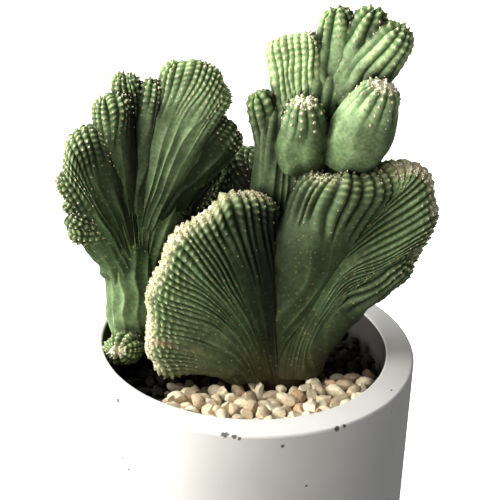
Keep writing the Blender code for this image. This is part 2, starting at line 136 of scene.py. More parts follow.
def end_finish(
    tree: bpy.types.NodeTree,
    colour: bpy.types.NodeSocket,
    bump: bpy.types.NodeSocket,
    roughness: float,
    specular: float = 0.5,
) -> None:
    """Feed a material's shader.

    Args:
        tree: The material's node tree.
        colour: The output with its colour.
        bump: The output with its bumped normal.
        roughness: Its roughness, the same all over.
        specular: Its specular level, the same all over.
    """
    shader = tree.nodes["Principled BSDF"]
    tree.links.new(colour, shader.inputs["Base Color"])
    tree.links.new(bump, shader.inputs["Normal"])
    shader.inputs["Roughness"].default_value = roughness
    shader.inputs["Specular IOR Level"].default_value = specular


def smoothstep(share: np.ndarray) -> np.ndarray:
    """Ease from 0 to 1, flat at both ends."""
    clipped = np.clip(share, 0, 1)
    return clipped * clipped * (3 - 2 * clipped)


def unit(vectors: np.ndarray) -> np.ndarray:
    """Scale each vector to length 1."""
    return vectors / np.linalg.norm(vectors, axis=-1, keepdims=True)


def along(points: Sequence[Point], shares: np.ndarray) -> np.ndarray:
    """Read a smooth curve through some points.

    Args:
        points: The points, in order.
        shares: Where to read it, from 0 at its start to 1 at its end, by length.

    Returns:
        One point for each share.
    """
    given = np.array(points, float)
    if len(given) == 2:
        return given[0] + shares[:, None] * (given[1] - given[0])
    padded = np.vstack([2 * given[0] - given[1], given, 2 * given[-1] - given[-2]])
    step = np.linspace(0, 1, 12, endpoint=False)[:, None]
    dense = []
    for a, b, c, d in zip(padded, padded[1:], padded[2:], padded[3:]):
        bend = (2 * a - 5 * b + 4 * c - d) * step**2 + (3 * (b - c) + d - a) * step**3
        dense.append(0.5 * (2 * b + (c - a) * step + bend))
    dense.append(given[-1:])
    curve = np.vstack(dense)
    lengths = np.concatenate([[0], np.cumsum(np.linalg.norm(np.diff(curve, axis=0), axis=1))])
    reading = shares * lengths[-1]
    return np.stack([np.interp(reading, lengths, curve[:, axis]) for axis in range(3)], axis=1)


def soft_field(
    draw: np.random.Generator, across: np.ndarray, up: np.ndarray, cells: tuple[int, int]
) -> np.ndarray:
    """Read a smooth random field.

    Args:
        draw: The seeded source of the numbers.
        across: Where to read it, from 0 to 1.
        up: The same in the other direction, in a shape that broadcasts with the first.
        cells: How many hills and dips it has each way.

    Returns:
        Values between -1 and 1.
    """
    lattice = draw.uniform(-1, 1, (cells[1] + 2, cells[0] + 2))
    x, y = np.broadcast_arrays(across * cells[0], up * cells[1])
    column, row = np.floor(x).astype(int), np.floor(y).astype(int)
    right, higher = smoothstep(x - column), smoothstep(y - row)
    lower = lattice[row, column] * (1 - right) + lattice[row, column + 1] * right
    upper = lattice[row + 1, column] * (1 - right) + lattice[row + 1, column + 1] * right
    return lower * (1 - higher) + upper * higher


@dataclass(frozen=True)
class CactusSkin:
    """Waxy cactus skin over wet flesh: satin, corky brown near the soil, with painted shade in its
    grooves, in the creases between lobes and where lobes lie in shadow.

    Its pattern follows attributes that the skin's builder stores: ridge, tip, young, wool, bare, scar,
    and the stain and crease marks, both of which carry painted shade.
    """

    name: str
    old_ridge: str = "#2c4423"
    # The groove colours are far darker than the ridge colours. They are the grooves' own green with
    # painted shade in them.
    old_groove_shade: str = "#070b05"
    # The palest young flesh. It is pale enough to carry painted light on the block lobe's face.
    young_ridge: str = "#cbe8ae"
    young_groove_shade: str = "#46722e"
    tip: str = "#b0c086"
    stain: str = "#15170e"
    scar: str = "#84755c"
    crease: str = "#0c110a"
    wool: str = "#ded3ae"
    cork: str = "#4a3f2e"
    speck: str = "#8f9060"
    cork_low: float = 100 * MM
    cork_high: float = 134 * MM
    cork_share: float = 0.75
    blotch_size: float = 9 * MM
    mottle_size: float = 1.3 * MM
    speck_spacing: float = 2.1 * MM
    pore_size: float = 0.5 * MM
    roughness: float = 0.55
    specular: float = 0.13

    def build(self) -> bpy.types.Material:
        """Make the material."""
        made, tree, place = start_finish(self.name)
        read = {
            name: add_node(tree, "ShaderNodeAttribute", {"attribute_name": name}).outputs["Fac"]
            for name in ("ridge", "tip", "young", "wool", "bare", "stain", "scar", "crease")
        }
        blotch = add_node(
            tree, "ShaderNodeTexNoise", {"Scale": 1 / self.blotch_size, "Detail": 4}, {"Vector": place}
        ).outputs["Fac"]
        blotches = add_node(
            tree, "ShaderNodeMapRange", {1: 0.35, 2: 0.65, 3: 0.7, 4: 1.25}, {0: blotch}
        ).outputs[0]
        crumb = add_node(
            tree, "ShaderNodeTexNoise", {"Scale": 1 / self.mottle_size, "Detail": 3}, {"Vector": place}
        ).outputs["Fac"]
        mottling = add_node(
            tree, "ShaderNodeMapRange", {1: 0.35, 2: 0.65, 3: 0.78, 4: 1.22}, {0: crumb}
        ).outputs[0]

        mix = {"data_type": "RGBA"}
        # From groove to ridge: the dark grooves and the dark gaps between knobs are painted shade.
        old = add_node(
            tree,
            "ShaderNodeMix",
            {**mix, 6: linear(self.old_groove_shade), 7: linear(self.old_ridge)},
            {0: read["ridge"]},
        ).outputs[2]
        young = add_node(
            tree,
            "ShaderNodeMix",
            {**mix, 6: linear(self.young_groove_shade), 7: linear(self.young_ridge)},
            {0: read["ridge"]},
        ).outputs[2]
        colour = add_node(
            tree, "ShaderNodeMix", mix, {0: read["young"], 6: old, 7: young}
        ).outputs[2]
        for shading in (blotches, mottling):
            colour = add_node(
                tree, "ShaderNodeMix", {**mix, "blend_type": "MULTIPLY", 0: 1.0}, {6: colour, 7: shading}
            ).outputs[2]
        colour = add_node(
            tree, "ShaderNodeMix", {**mix, 7: linear(self.tip)}, {0: read["tip"], 6: colour}
        ).outputs[2]

        spots = add_node(
            tree, "ShaderNodeTexVoronoi", {"Scale": 1 / self.speck_spacing}, {"Vector": place}
        ).outputs["Distance"]
        dots = add_node(
            tree, "ShaderNodeMapRange", {1: 0.14, 2: 0.24, 3: 0.6, 4: 0.0}, {0: spots}
        ).outputs[0]
        specks = add_node(
            tree, "ShaderNodeMath", {"operation": "MULTIPLY"}, {0: dots, 1: read["bare"]}
        ).outputs[0]
        colour = add_node(
            tree, "ShaderNodeMix", {**mix, 7: linear(self.speck)}, {0: specks, 6: colour}
        ).outputs[2]

        height = add_node(tree, "ShaderNodeSeparateXYZ", links={0: place}).outputs["Z"]
        lowness = add_node(
            tree,
            "ShaderNodeMapRange",
            {1: self.cork_high, 2: self.cork_low, 3: 0.0, 4: self.cork_share},
            {0: height},
        ).outputs[0]
        patchy = add_node(
            tree, "ShaderNodeMapRange", {1: 0.3, 2: 0.6, 3: 0.4, 4: 1.0}, {0: blotch}
        ).outputs[0]
        cork = add_node(
            tree, "ShaderNodeMath", {"operation": "MULTIPLY"}, {0: lowness, 1: patchy}
        ).outputs[0]
        colour = add_node(
            tree, "ShaderNodeMix", {**mix, 7: linear(self.cork)}, {0: cork, 6: colour}
        ).outputs[2]
        # These marks darken the colour. The stain is partly old skin and partly painted shade where a
        # lobe lies in shadow. The crease mark is painted shade where lobes stand close. The scar is the
        # skin's own corky colour.
        for mark, paint in (("stain", self.stain), ("scar", self.scar), ("crease", self.crease)):
            colour = add_node(
                tree, "ShaderNodeMix", {**mix, 7: linear(paint)}, {0: read[mark], 6: colour}
            ).outputs[2]
        felt = add_node(
            tree, "ShaderNodeMapRange", {1: 0.35, 2: 0.6, 3: 0.5, 4: 1.0}, {0: crumb}
        ).outputs[0]
        felted = add_node(
            tree, "ShaderNodeMath", {"operation": "MULTIPLY"}, {0: felt, 1: read["wool"]}
        ).outputs[0]
        colour = add_node(
            tree, "ShaderNodeMix", {**mix, 7: linear(self.wool)}, {0: felted, 6: colour}
        ).outputs[2]

        pores = add_node(
            tree, "ShaderNodeTexNoise", {"Scale": 1 / self.pore_size, "Detail": 2}, {"Vector": place}
        ).outputs["Fac"]
        bump = add_node(
            tree, "ShaderNodeBump", {"Strength": 0.35, "Distance": 0.2 * MM}, {"Height": pores}
        ).outputs["Normal"]
        end_finish(tree, colour, bump, self.roughness, self.specular)
        return made


@dataclass(frozen=True)
class PlantWool:
    """Felted cactus wool: short matted hairs, quite matt, cream where fresh and tan where old."""

    name: str = "felted_wool"
    fresh: str = "#f4efdc"
    old: str = "#9c8a5e"
    hair_size: float = 0.35 * MM
    roughness: float = 0.95
    specular: float = 0.15

    def build(self) -> bpy.types.Material:
        """Make the material."""
        made, tree, place = start_finish(self.name)
        age = add_node(tree, "ShaderNodeAttribute", {"attribute_name": "age"}).outputs["Fac"]
        colour = add_node(
            tree,
            "ShaderNodeMix",
            {"data_type": "RGBA", 6: linear(self.fresh), 7: linear(self.old)},
            {0: age},
        ).outputs[2]
        hairs = add_node(
            tree, "ShaderNodeTexNoise", {"Scale": 1 / self.hair_size, "Detail": 2}, {"Vector": place}
        ).outputs["Fac"]
        bump = add_node(
            tree, "ShaderNodeBump", {"Strength": 0.6, "Distance": 0.2 * MM}, {"Height": hairs}
        ).outputs["Normal"]
        end_finish(tree, colour, bump, self.roughness, self.specular)
        return made


@dataclass(frozen=True)
class StoneChips:
    """Crushed sedimentary stone: dusty and matt, each chip its own cream, beige or tan."""

    name: str = "crushed_stone"
    cream: str = "#faefd2"
    tan: str = "#a9835a"
    earth: str = "#14110e"
    dust_size: float = 1.6 * MM
    grit_size: float = 0.5 * MM
    roughness: float = 0.9
    specular: float = 0.15

    def build(self) -> bpy.types.Material:
        """Make the material."""
        made, tree, place = start_finish(self.name)
        shade = add_node(tree, "ShaderNodeAttribute", {"attribute_name": "shade"}).outputs["Fac"]
        colour = add_node(
            tree,
            "ShaderNodeMix",
            {"data_type": "RGBA", 6: linear(self.cream), 7: linear(self.tan)},
            {0: shade},
        ).outputs[2]
        # Chips at the left and behind are darkened to near black. This is partly soil on them and partly
        # painted shade.
        earth = add_node(tree, "ShaderNodeAttribute", {"attribute_name": "earth"}).outputs["Fac"]
        colour = add_node(
            tree,
            "ShaderNodeMix",
            {"data_type": "RGBA", 7: linear(self.earth)},
            {0: earth, 6: colour},
        ).outputs[2]
        dust = add_node(
            tree, "ShaderNodeTexNoise", {"Scale": 1 / self.dust_size, "Detail": 5}, {"Vector": place}
        ).outputs["Fac"]
        dusting = add_node(
            tree, "ShaderNodeMapRange", {1: 0.3, 2: 0.7, 3: 0.75, 4: 1.1}, {0: dust}
        ).outputs[0]
        colour = add_node(
            tree,
            "ShaderNodeMix",
            {"data_type": "RGBA", "blend_type": "MULTIPLY", 0: 1.0},
            {6: colour, 7: dusting},
        ).outputs[2]
        grit = add_node(
            tree, "ShaderNodeTexNoise", {"Scale": 1 / self.grit_size, "Detail": 3}, {"Vector": place}
        ).outputs["Fac"]
        bump = add_node(
            tree, "ShaderNodeBump", {"Strength": 0.5, "Distance": 0.3 * MM}, {"Height": grit}
        ).outputs["Normal"]
        end_finish(tree, colour, bump, self.roughness, self.specular)
        return made


@dataclass(frozen=True)
class CastCement:
    """Fine cement cast in a smooth mould: pale grey, matt, faintly cloudy, with a few air pits.

    Inside the hole it is painted dark, partly a stain of damp soil and partly painted shade on the
    inner wall. A few nicks in its rim, each a place and a radius in millimetres, are painted darker like
    the pits: painted shade in them.
    """

    name: str = "cast_cement"
    pale: str = "#d6d6d4"
    cloud: str = "#c2c2c0"
    damp: str = "#2f2e2c"
    pit_shade: str = "#5d5b54"
    cloud_size: float = 28 * MM
    pit_spacing: float = 13 * MM
    pit_radius: float = 0.55 * MM
    grain_size: float = 0.7 * MM
    roughness: float = 0.82
    nicks: tuple[tuple[Point, float], ...] = (
        ((-5.8, -59.4, 109.9), 1.4),
        ((-2.6, -59.9, 109.5), 1.0),
        ((-0.9, -59.9, 108.9), 0.7),
        ((32.3, -50.7, 109.3), 1.1),
        ((34.9, -49, 109.6), 0.9),
        ((-43.5, -41.3, 109.2), 0.9),
        ((13.9, -58.4, 106.1), 0.6),
    )

    def build(self) -> bpy.types.Material:
        """Make the material."""
        made, tree, place = start_finish(self.name)
        damp = add_node(tree, "ShaderNodeAttribute", {"attribute_name": "damp"}).outputs["Fac"]
        clouds = add_node(
            tree, "ShaderNodeTexNoise", {"Scale": 1 / self.cloud_size, "Detail": 5}, {"Vector": place}
        ).outputs["Fac"]
        colour = add_node(
            tree,
            "ShaderNodeMix",
            {"data_type": "RGBA", 6: linear(self.pale), 7: linear(self.cloud)},
            {0: clouds},
        ).outputs[2]
        spots = add_node(
            tree, "ShaderNodeTexVoronoi", {"Scale": 1 / self.pit_spacing}, {"Vector": place}
        ).outputs["Distance"]
        edge = self.pit_radius / self.pit_spacing
        pits = add_node(
            tree, "ShaderNodeMapRange", {1: 0.6 * edge, 2: edge, 3: 1.0, 4: 0.0}, {0: spots}
        ).outputs[0]
        crumbs = add_node(
            tree, "ShaderNodeTexNoise", {"Scale": 1 / self.grain_size, "Detail": 2}, {"Vector": place}
        ).outputs["Fac"]
        for centre, radius in self.nicks:
            point = tuple(axis * MM for axis in centre)
            away = add_node(
                tree, "ShaderNodeVectorMath", {"operation": "DISTANCE", 1: point}, {0: place}
            ).outputs["Value"]
            ragged = add_node(
                tree,
                "ShaderNodeMath",
                {"operation": "MULTIPLY_ADD", 1: -1.6 * radius * MM},
                {0: crumbs, 2: away},
            ).outputs[0]
            nick = add_node(
                tree,
                "ShaderNodeMapRange",
                {1: -0.1 * radius * MM, 2: 0.2 * radius * MM, 3: 1.0, 4: 0.0},
                {0: ragged},
            ).outputs[0]
            pits = add_node(
                tree, "ShaderNodeMath", {"operation": "MAXIMUM"}, {0: pits, 1: nick}
            ).outputs[0]
        # The pits and nicks are painted darker: painted shade in them.
        colour = add_node(
            tree,
            "ShaderNodeMix",
            {"data_type": "RGBA", 7: linear(self.pit_shade)},
            {0: pits, 6: colour},
        ).outputs[2]
        # The inner wall's darkness is partly a damp-soil stain and partly painted shade.
        colour = add_node(
            tree,
            "ShaderNodeMix",
            {"data_type": "RGBA", 7: linear(self.damp)},
            {0: damp, 6: colour},
        ).outputs[2]
        grain = add_node(
            tree, "ShaderNodeTexNoise", {"Scale": 1 / self.grain_size, "Detail": 4}, {"Vector": place}
        ).outputs["Fac"]
        fine = add_node(
            tree, "ShaderNodeBump", {"Strength": 0.25, "Distance": 0.15 * MM}, {"Height": grain}
        ).outputs["Normal"]
        bump = add_node(
            tree,
            "ShaderNodeBump",
            {"Strength": 0.8, "Distance": 0.6 * MM, "invert": True},
            {"Height": pits, "Normal": fine},
        ).outputs["Normal"]
        end_finish(tree, colour, bump, self.roughness)
        return made


@dataclass(frozen=True)
class DampSoil:
    """Damp peaty compost: near black, crumbly, quite matt."""

    name: str = "damp_compost"
    dark: str = "#1c1612"
    light: str = "#3b2f25"
    crumb_size: float = 1.8 * MM
    roughness: float = 0.95

    def build(self) -> bpy.types.Material:
        """Make the material."""
        made, tree, place = start_finish(self.name)
        crumbs = add_node(
            tree, "ShaderNodeTexNoise", {"Scale": 1 / self.crumb_size, "Detail": 6}, {"Vector": place}
        ).outputs["Fac"]
        colour = add_node(
            tree,
            "ShaderNodeMix",
            {"data_type": "RGBA", 6: linear(self.dark), 7: linear(self.light)},
            {0: crumbs},
        ).outputs[2]
        bump = add_node(
            tree, "ShaderNodeBump", {"Strength": 1.0, "Distance": 1.0 * MM}, {"Height": crumbs}
        ).outputs["Normal"]
        end_finish(tree, colour, bump, self.roughness)
        return made


@dataclass(frozen=True)
class Ribs:
    """How a lobe's skin is ribbed, in millimetres.

    The pitch is measured along the crown. Knobs are the swellings that carry the areoles: they
    start close together at the crown and stretch apart by the growth share as they grow older.
    The longest grooves run down to the share start of the height and the others end higher, by up
    to the spread. Each deepens from its end over the share rise. Below them the smooth flesh is
    drawn into thin veins, a fold pitch apart. Meander and sway are how far, in ribs, a rib strays
    closely and broadly. A higher fullness makes narrower ridges. Columns is the number of columns
    of faces across a rib.
    """

    pitch: float
    depth: float
    knob_pitch: float
    knob: float
    knob_zone: float
    start: float
    rise: float
    spread: float = 0.3
    meander: float = 0.35
    sway: float = 1.0
    fold_pitch: float = 7.0
    fold_depth: float = 0.6
    columns: int = 6
    fullness: float = 0.5
    growth: float = 0.06


class RibKind(Enum):
    """The named ways in which the lobes are ribbed."""

    FAN = Ribs(
        2.4, depth=1.6, knob_pitch=2.0, knob=1.1, knob_zone=19, start=0.3, rise=0.3, spread=0.55,
        fullness=0.85,
    )
    FOLD = Ribs(
        2.9, depth=2.1, knob_pitch=2.0, knob=1.0, knob_zone=11, start=0.6, rise=0.12, spread=0.35,
        fold_depth=0.5, sway=0.4, fullness=0.65,
    )
    WALL = Ribs(
        3.1, depth=1.3, knob_pitch=2.2, knob=0.8, knob_zone=12, start=0.55, rise=0.25, fold_pitch=5.5,
        fold_depth=1.2,
    )
    BLOCK = Ribs(2.6, depth=0.8, knob_pitch=2.1, knob=0.6, knob_zone=40, start=0.2, rise=0.3, sway=0.4)
    FINGER = Ribs(
        4.0, depth=1.3, knob_pitch=2.4, knob=0.6, knob_zone=20, start=0.1, rise=0.3, columns=9,
        meander=0.15, sway=0.2, fullness=0.6,
    )
    BARREL = Ribs(
        3.4, depth=1.0, knob_pitch=2.4, knob=0.8, knob_zone=12, start=0.66, rise=0.4, columns=8,
        meander=0.15, sway=0.2, growth=0.09, fold_pitch=5, fold_depth=0.35,
    )
    KNOBBLY = Ribs(
        2.2, depth=0.8, knob_pitch=1.75, knob=0.8, knob_zone=20, start=0.62, rise=0.25, fold_pitch=5.5,
        fold_depth=1.2,
    )
    STEM = Ribs(
        6.0, depth=0, knob_pitch=4.0, knob=0, knob_zone=60, start=1, rise=0.25, columns=14,
        fold_pitch=4.5, fold_depth=1.6, meander=0.2, sway=0.3,
    )


@dataclass(frozen=True)
class Lobe:
    """One fan, finger or barrel of the plant, in millimetres.

    The flesh rises from a short straight foot to the crest line, which is the centre line of the
    rounded upper edge. The tone goes from old flesh at 0 to young flesh at 1, at the foot and at
    the crown. Four fields are read at even stations along the crest: how woolly it is, how thickly
    its ribs stand, how far up its smooth flesh reaches and how dark its stain is, which is partly old
    scarred skin and partly painted shade where the lobe lies in shadow. The hub is the share of the
    crest to which its ribs lean, and how strongly. The crest line strays up and down by the lump,
    and the areole and fine values scale its areoles and its detail. The wool reaches down to the
    wool zone, and its age goes from fresh at 0 to old at 1. A corky scar may run down it at a share
    of the crest.
    """

    line: Sequence[Point]
    foot: Point
    foot_half: float
    rise: Point
    thickness: Point
    ribs: RibKind
    tone: tuple[float, float]
    wool: Sequence[float] = (0.0,)
    wool_zone: float = 5.0
    wool_age: float = 0.4
    crowd: Sequence[float] = (1.0,)
    smooth: Sequence[float] = ()
    stain: Sequence[float] = (0.0,)
    hub: tuple[float, float] = (0.5, 0.0)
    lump: float = 0.9
    areole: float = 1.0
    scar: float | None = None
    fine: float = 1.0


@dataclass(frozen=True)
class Root:
    """An elliptical root plug, in millimetres: its centre and its half lengths along X and Y."""

    centre: tuple[float, float]
    halves: tuple[float, float]


UP = (0.0, 0.0, 0.35)

MAIN_LOBES = {
    "front_crest": Lobe(
        line=(
            (-28.1, -13, 109.8), (-29.6, -14, 122.7), (-29, -14, 134.9), (-25.1, -12, 149.2),
            (-18.6, -10, 159.2), (-10.5, -7, 167), (-2.5, -4, 168.6), (2.8, -1, 166), (4.5, 1, 157.6),
        ),
        foot=(4, -3, 102), foot_half=7, rise=(-0.1, -0.08, 0.5), thickness=(7, 8.5, 6.3),
        ribs=RibKind.FAN, tone=(0.02, 0.26), wool_zone=6.2,
        wool=(0.3, 1, 1, 0.8, 0.45, 0.6, 1, 1, 0.5, 0.6, 1, 0.3, 0),
        smooth=(0.72, 0.62, 0.5, 0.44, 0.44, 0.5, 0.6, 0.7),
        stain=(0, 0, 0, 0, 0.1, 0.6, 0.9, 1, 1), lump=1.7, wool_age=0.5, scar=0.19,
    ),
    "right_crest": Lobe(
        line=(
            (19.7, -5, 176.2), (27, -9, 179), (35.3, -6, 176.1), (43.8, -1, 179.6),
            (52, 0, 181.2), (56, -2, 173.1), (56.9, -4, 162), (53.6, -5, 154.2), (49.4, -5, 149.6),
        ),
        foot=(14, 0, 102), foot_half=6, rise=(0, 0, 0.4), thickness=(8, 9.5, 6.8),
        ribs=RibKind.FOLD, tone=(0.04, 0.21), wool_zone=6,
        wool=(0, 0.6, 0.3, 0.1, 0.5, 1, 1, 0.7, 0.2, 0.2, 0.1, 0),
        crowd=(0.8, 0.8, 0.85, 1, 1.1, 1.1, 1),
        smooth=(0.84, 0.82, 0.78, 0.7, 0.64, 0.57, 0.5, 0.5),
        stain=(1, 0.55, 0.3, 0.35, 0.2, 0, 0, 0.15, 0.35, 0.5), hub=(0.4, 0.5), lump=1.2,
        wool_age=0.3,
    ),
    "trunk": Lobe(
        line=((5, 10, 195), (12.4, 12, 206), (27.6, 12, 211), (37.5, 9, 207)),
        foot=(11, 6, 102), foot_half=7, rise=UP, thickness=(8, 8.5, 7),
        ribs=RibKind.WALL, tone=(0, 0.34), smooth=(0.8,), stain=(0.7, 0.2, 0, 0), fine=0.85,
    ),
    # Its tone near 1 makes it the palest lobe. This is partly its young flesh and partly painted light
    # on its face.
    "block_lobe": Lobe(
        line=((3.9, 12.5, 218.8), (8.1, 12, 222), (14.5, 11, 223)),
        foot=(15, 11, 186), foot_half=4, rise=UP, thickness=(6, 5.5, 4.5),
        ribs=RibKind.BLOCK, tone=(0.95, 1), wool=(0.12,), wool_zone=26, wool_age=0.1,
    ),
    "left_finger": Lobe(
        line=((-1.3, 8, 202.6), (0.6, 9, 202.4)),
        foot=(8, 10, 172), foot_half=2, rise=(-0.05, 0, 0.35), thickness=(4.5, 4.5, 4),
        ribs=RibKind.FINGER, tone=(0.07, 0.48), stain=(0.5,),
    ),
    "top_finger_left": Lobe(
        line=((22.6, 12, 232.4), (24.4, 12, 232.5)),
        foot=(24, 12, 203), foot_half=2, rise=UP, thickness=(5.5, 6, 5.1),
        ribs=RibKind.FINGER, tone=(0.36, 0.54), areole=1.4,
    ),
    "top_finger_middle": Lobe(
        line=((33.6, 10, 233.9), (35.4, 10, 233.6)),
        foot=(27, 12, 203), foot_half=2, rise=UP, thickness=(5.5, 6, 5.1),
        ribs=RibKind.FINGER, tone=(0.36, 0.54), areole=1.4,
    ),
    "top_finger_right": Lobe(
        line=((42.3, 6, 230.4), (44.2, 6, 228.8)),
        foot=(29, 9, 202), foot_half=2, rise=(0.1, 0, 0.3), thickness=(5.5, 6.4, 5.4),
        ribs=RibKind.FINGER, tone=(0.36, 0.54), areole=1.4,
    ),
    "right_barrel": Lobe(
        line=((37.8, -4, 213), (39.6, -4, 212.6)),
        foot=(30, 4, 181), foot_half=2, rise=(0.05, -0.1, 0.4), thickness=(6, 9.6, 6.4),
        ribs=RibKind.BARREL, tone=(0.27, 0.51), wool=(1, 1), wool_zone=5, wool_age=0.1, areole=1.9,
    ),
    "left_barrel": Lobe(
        line=((13.5, -2, 203.2), (15.5, -2, 203.2)),
        foot=(15.5, 5, 178), foot_half=1.5, rise=(0, -0.1, 0.4), thickness=(5.5, 8, 5.3),
        ribs=RibKind.BARREL, tone=(0.15, 0.24), wool=(1, 1), wool_zone=4.5, wool_age=0.1, areole=1.9,
    ),
    "far_left_lobe": Lobe(
        line=((-10.4, 21, 167.5), (-8.6, 21, 172.3), (-4, 20, 174.4), (0, 18, 173)),
        foot=(7, 14, 136), foot_half=3, rise=UP, thickness=(6, 6, 5),
        ribs=RibKind.KNOBBLY, tone=(0.01, 0.1), stain=(0.85,),
    ),
    "far_low_lobe": Lobe(
        line=((-14.2, 23, 160), (-12.6, 23, 164.6)),
        foot=(4, 13, 130), foot_half=3, rise=UP, thickness=(6, 5.4, 4.3),
        ribs=RibKind.KNOBBLY, tone=(0.01, 0.1), stain=(0.85,),
    ),
    "back_crest": Lobe(
        line=((1, 27, 152), (6, 30, 164), (16, 30, 168), (27, 27, 163), (33, 23, 152)),
        foot=(12, 8, 106), foot_half=5, rise=(0, 0.15, 0.3), thickness=(7, 7.5, 6),
        ribs=RibKind.WALL, tone=(0.03, 0.14), wool=(0.3, 0.7, 0.5, 0.7, 0.3), fine=0.65,
    ),
}

LEFT_LOBES = {
    "stem": Lobe(
        line=((-45.5, 6, 146), (-42.5, 7, 146)),
        foot=(-40.5, 8, 102), foot_half=1, rise=(-0.03, 0, 0.35), thickness=(4.6, 9, 8),
        ribs=RibKind.STEM, tone=(0.41, 0),
    ),
    "palm": Lobe(
        line=((-58, 0, 154), (-56, 2, 167), (-46, 6, 176), (-34, 9, 178), (-22, 11, 172)),
        foot=(-43, 7, 127), foot_half=3, rise=(0, 0, 0.4), thickness=(5, 7.5, 5.6),
        ribs=RibKind.WALL, tone=(0.13, 0.05), smooth=(0.8,), stain=(0.1, 0.1, 0.2, 0.1, 0.3),
    ),
    "low_crest": Lobe(
        line=((-61, -2, 159), (-61.4, -2, 156), (-59.5, -2, 153.2)),
        foot=(-46, 3, 145), foot_half=2, rise=(-0.1, 0, 0.3), thickness=(4, 4.6, 4.4),
        ribs=RibKind.KNOBBLY, tone=(0.01, 0.07),
    ),
    "side_bud": Lobe(
        line=((-63.6, -1, 164.8), (-62.8, -1, 163.6)),
        foot=(-50, 3, 154), foot_half=1.5, rise=(-0.1, 0, 0.3), thickness=(3.2, 3.2, 3.1),
        ribs=RibKind.KNOBBLY, tone=(0.03, 0.1),
    ),
    "side_crest": Lobe(
        line=(
            (-63.6, -1, 172), (-64.2, -1, 180), (-60.7, 0, 185.4), (-56, 1, 187), (-53.4, 2, 183),
        ),
        foot=(-45.5, 4, 143), foot_half=2.5, rise=(-0.1, -0.03, 0.35), thickness=(5, 6.6, 5),
        ribs=RibKind.KNOBBLY, tone=(0.01, 0.1), smooth=(0.6, 0.6, 0.7, 0.78, 0.8),
        stain=(0, 0.1, 0.5, 0.85, 1), areole=1.2,
    ),
    "tall_lobe": Lobe(
        line=((-53.9, 2, 198.4), (-49.8, 3, 200)),
        foot=(-43.5, 4, 145), foot_half=1, rise=(-0.04, -0.03, 0.4), thickness=(3, 5, 4.9),
        ribs=RibKind.KNOBBLY, tone=(0.01, 0.2), smooth=(0.72,), stain=(0, 0.1, 0.5, 1, 1),
        areole=1.2,
    ),
    "back_lobe": Lobe(
        line=((-48.4, 8, 206.2), (-46.8, 8, 206.2)),
        foot=(-43, 8, 166), foot_half=1.5, rise=UP, thickness=(5, 5, 4.4),
        ribs=RibKind.KNOBBLY, tone=(0.07, 0.34), areole=1.2,
    ),
    "thin_finger": Lobe(
        line=((-38.9, 6, 206.8), (-37.7, 6, 206.8)),
        foot=(-41.5, 4, 156), foot_half=1.5, rise=(0, -0.02, 0.35), thickness=(4, 4.2, 3.3),
        ribs=RibKind.KNOBBLY, tone=(0.03, 0.31), smooth=(0.7,), stain=(0, 0.2, 0.8, 1),
        areole=1.2,
    ),
    "top_crest": Lobe(
        line=((-30.9, 7.5, 211.8), (-24.9, 7.5, 212.7), (-18, 7.5, 209.1), (-15.4, 8, 203.6)),
        foot=(-40, 4, 148), foot_half=1.5, rise=(0.06, -0.02, 0.38), thickness=(3, 4.8, 4.9),
        ribs=RibKind.KNOBBLY, tone=(0.04, 0.58), smooth=(0.7,), stain=(0.7, 0.3, 0.1, 0.2, 0.5),
        areole=1.3,
    ),
    "right_lobe": Lobe(
        line=((-14.6, 9, 191.6), (-11.4, 9, 190), (-11.4, 9, 187)),
        foot=(-36.5, 6, 152), foot_half=2, rise=(0.1, 0, 0.3), thickness=(4, 5, 4.5),
        ribs=RibKind.KNOBBLY, tone=(0, 0.04), smooth=(0.85,), stain=(0.5, 0.6, 0.7),
        areole=1.2,
    ),
    "low_right_lobe": Lobe(
        line=((-18, 11, 175), (-17, 11, 170.5), (-19.5, 11, 164)),
        foot=(-37, 8, 142), foot_half=3, rise=(0.1, 0, 0.3), thickness=(5, 5.4, 4.4),
        ribs=RibKind.KNOBBLY, tone=(0, 0.03), smooth=(0.75,), stain=(0.9,),
    ),
    "rear_crest": Lobe(
        line=((-55, 17, 158), (-50, 21, 170), (-40, 23, 174), (-30, 21, 166)),
        foot=(-42, 9, 124), foot_half=3, rise=(0, 0.1, 0.3), thickness=(6, 6.4, 5),
        ribs=RibKind.WALL, tone=(0.07, 0.14), wool=(0.2, 0.5, 0.3), fine=0.65,
    ),
    "soil_bud": Lobe(
        line=((-45.8, -6, 109), (-44.4, -6, 109)),
        foot=(-41.5, 6, 106), foot_half=1, rise=(-0.1, -0.4, 0), thickness=(4, 5.4, 5.2),
        ribs=RibKind.KNOBBLY, tone=(0.2, 0.27), wool=(0.6, 0.6), wool_zone=3,
    ),
}


@dataclass(frozen=True)
class Tuft:
    """One woolly areole or lock of wool: where it sits, the way out of the skin, size and age."""

    place: Vector
    outward: Vector
    radius: float
    age: float


